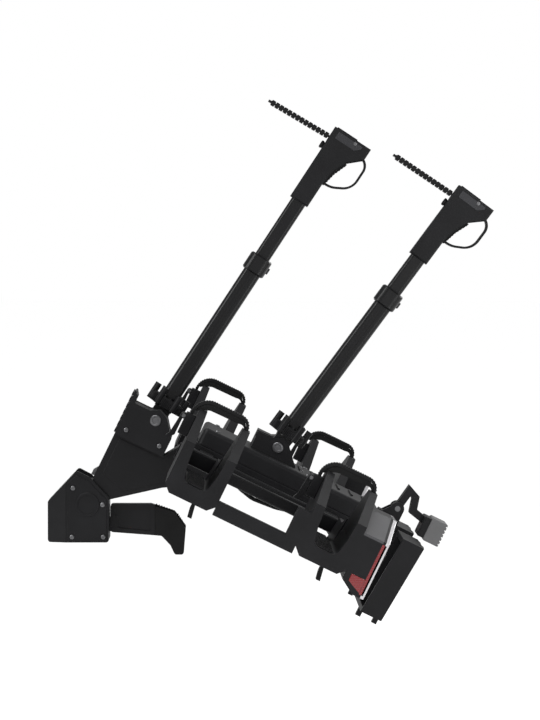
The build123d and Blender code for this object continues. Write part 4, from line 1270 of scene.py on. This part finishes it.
def plateInto(bm):
    deep = plateRib["deep"]
    for k in range(-plateRib["eachWay"], plateRib["eachWay"] + 1):
        y = k * plateRib["pitch"]
        low, high = plateRib["middleLimits"] if abs(y) < plateRib["middleReach"] else plateRib["limits"]
        lowX, highX = leaningX(plateHolder["floorX"], low), leaningX(plateHolder["floorX"], high)
        outline = [(lowX, low), (lowX + deep, low + deep), (highX + deep, high - deep), (highX, high)]
        prismInto(bm, outline, (y - plateRib["half"], y + plateRib["half"]), plateRib["round"], 1)
    for y in plateClip["y"]:
        left, right = y - plateClip["half"], y + plateClip["half"]
        for z, lip in ((plateHolder["lowZ"], plateClip["lip"]), (plateHolder["highZ"], -plateClip["lip"])):
            x = leaningX(plateHolder["faceX"], z)
            low, high = sorted((z, z + lip))
            corners = (x - plateClip["behind"], left, low), (x + plateClip["ahead"], right, high)
            boxInto(bm, *corners, plateClip["round"])


addPiece("plate_clips", meshFrom("plate_clips", plateInto, tiltFrame), "platform", "black_plastic")

# shallow panels on the sides of the neck
neckPanel = {
    "outline": [
        (0.000, 0.0640),
        (0.0480, 0.0500),
        (0.1000, 0.0920),
        (0.1960, 0.1500),
        (0.1850, 0.1750),
        (0.1200, 0.1750),
        (0.0860, 0.1320),
        (0.000, 0.1320),
    ],
    "y": (0.0395, 0.0412),
    "round": 0.0006,
}
sidePanels("neck_panel", "platform", "black_paint", neckPanel, tiltFrame)
print("platform dressed")

# pale floor and a bright surround, which lights the part less than the camera sees of it
stage = {
    "floorZ": -0.46,
    "floorHalf": 60.0,
    "floorColor": (0.93, 0.93, 0.93),
    "floorRough": 0.9,
    "seen": 1.0,
    "onPart": 0.42,
}
floorPoints = [
    (x * stage["floorHalf"], y * stage["floorHalf"], stage["floorZ"])
    for x, y in ((-1, -1), (1, -1), (1, 1), (-1, 1))
]
floorMesh = bpy.data.meshes.new("floor")
floorMesh.from_pydata(floorPoints, [], [(0, 1, 2, 3)])
floor = bpy.data.objects.new("floor", floorMesh)
scene.collection.objects.link(floor)
floorMaterial, floorShader = newMaterial("floor_pale")[::2]
floorShader.inputs["Base Color"].default_value = (*stage["floorColor"], 1)
floorShader.inputs["Roughness"].default_value = stage["floorRough"]
floorMesh.materials.append(floorMaterial)

world = bpy.data.worlds.new("studio")
scene.world = world
world.use_nodes = True
sky = world.node_tree
sky.nodes.clear()
skyOut = sky.nodes.new("ShaderNodeOutputWorld")
background = sky.nodes.new("ShaderNodeBackground")
rays = sky.nodes.new("ShaderNodeLightPath")
level = sky.nodes.new("ShaderNodeMapRange")
level.inputs["To Min"].default_value = stage["onPart"]
level.inputs["To Max"].default_value = stage["seen"]
sky.links.new(rays.outputs["Is Camera Ray"], level.inputs["Value"])
sky.links.new(level.outputs["Result"], background.inputs["Strength"])
sky.links.new(background.outputs["Background"], skyOut.inputs["Surface"])
background.inputs["Color"].default_value = (1, 1, 1, 1)

# studio lights
lights = {
    "sun": {"power": 2.35, "spread": 50, "tilt": (14, -16, 0)},
    "key": {"at": (-2.4, -2.6, 2.0), "target": (0.35, 0, 0.25), "size": (1.4, 1.4), "power": 60},
    "rim": {"at": (2.8, 1.6, 1.7), "target": (0.35, 0, 0.25), "size": (1.2, 1.6), "power": 55},
    "front_strip": {"at": (1.7, -3.4, 0.6), "target": (0.35, 0, 0.2), "size": (0.35, 2.2), "power": 24},
}


def aim(obj, place, target):
    obj.location = place
    obj.rotation_euler = (Vector(target) - Vector(place)).to_track_quat("-Z", "Y").to_euler()


def areaLight(name):
    light = lights[name]
    data = bpy.data.lights.new(name, "AREA")
    data.shape = "RECTANGLE"
    data.size, data.size_y = light["size"]
    data.energy = light["power"]
    obj = bpy.data.objects.new(name, data)
    scene.collection.objects.link(obj)
    aim(obj, light["at"], light["target"])


sunData = bpy.data.lights.new("overhead", "SUN")
sunData.energy = lights["sun"]["power"]
sunData.angle = radians(lights["sun"]["spread"])
sunObject = bpy.data.objects.new("overhead", sunData)
scene.collection.objects.link(sunObject)
sunObject.rotation_euler = [radians(angle) for angle in lights["sun"]["tilt"]]
for name in ("key", "rim", "front_strip"):
    areaLight(name)
print("lights set")

# camera where the photograph was taken from, with a longer lens
view = {"at": (0.263, -6.5, 0.5007), "target": (0.348, 0.0, 0.300), "lens": 180.0, "sensor": 36}
cameraData = bpy.data.cameras.new("camera")
cameraData.sensor_width = view["sensor"]
cameraData.lens = view["lens"]
camera = bpy.data.objects.new("camera", cameraData)
scene.collection.objects.link(camera)
aim(camera, view["at"], view["target"])
scene.camera = camera
scene.view_settings.view_transform = "Standard"
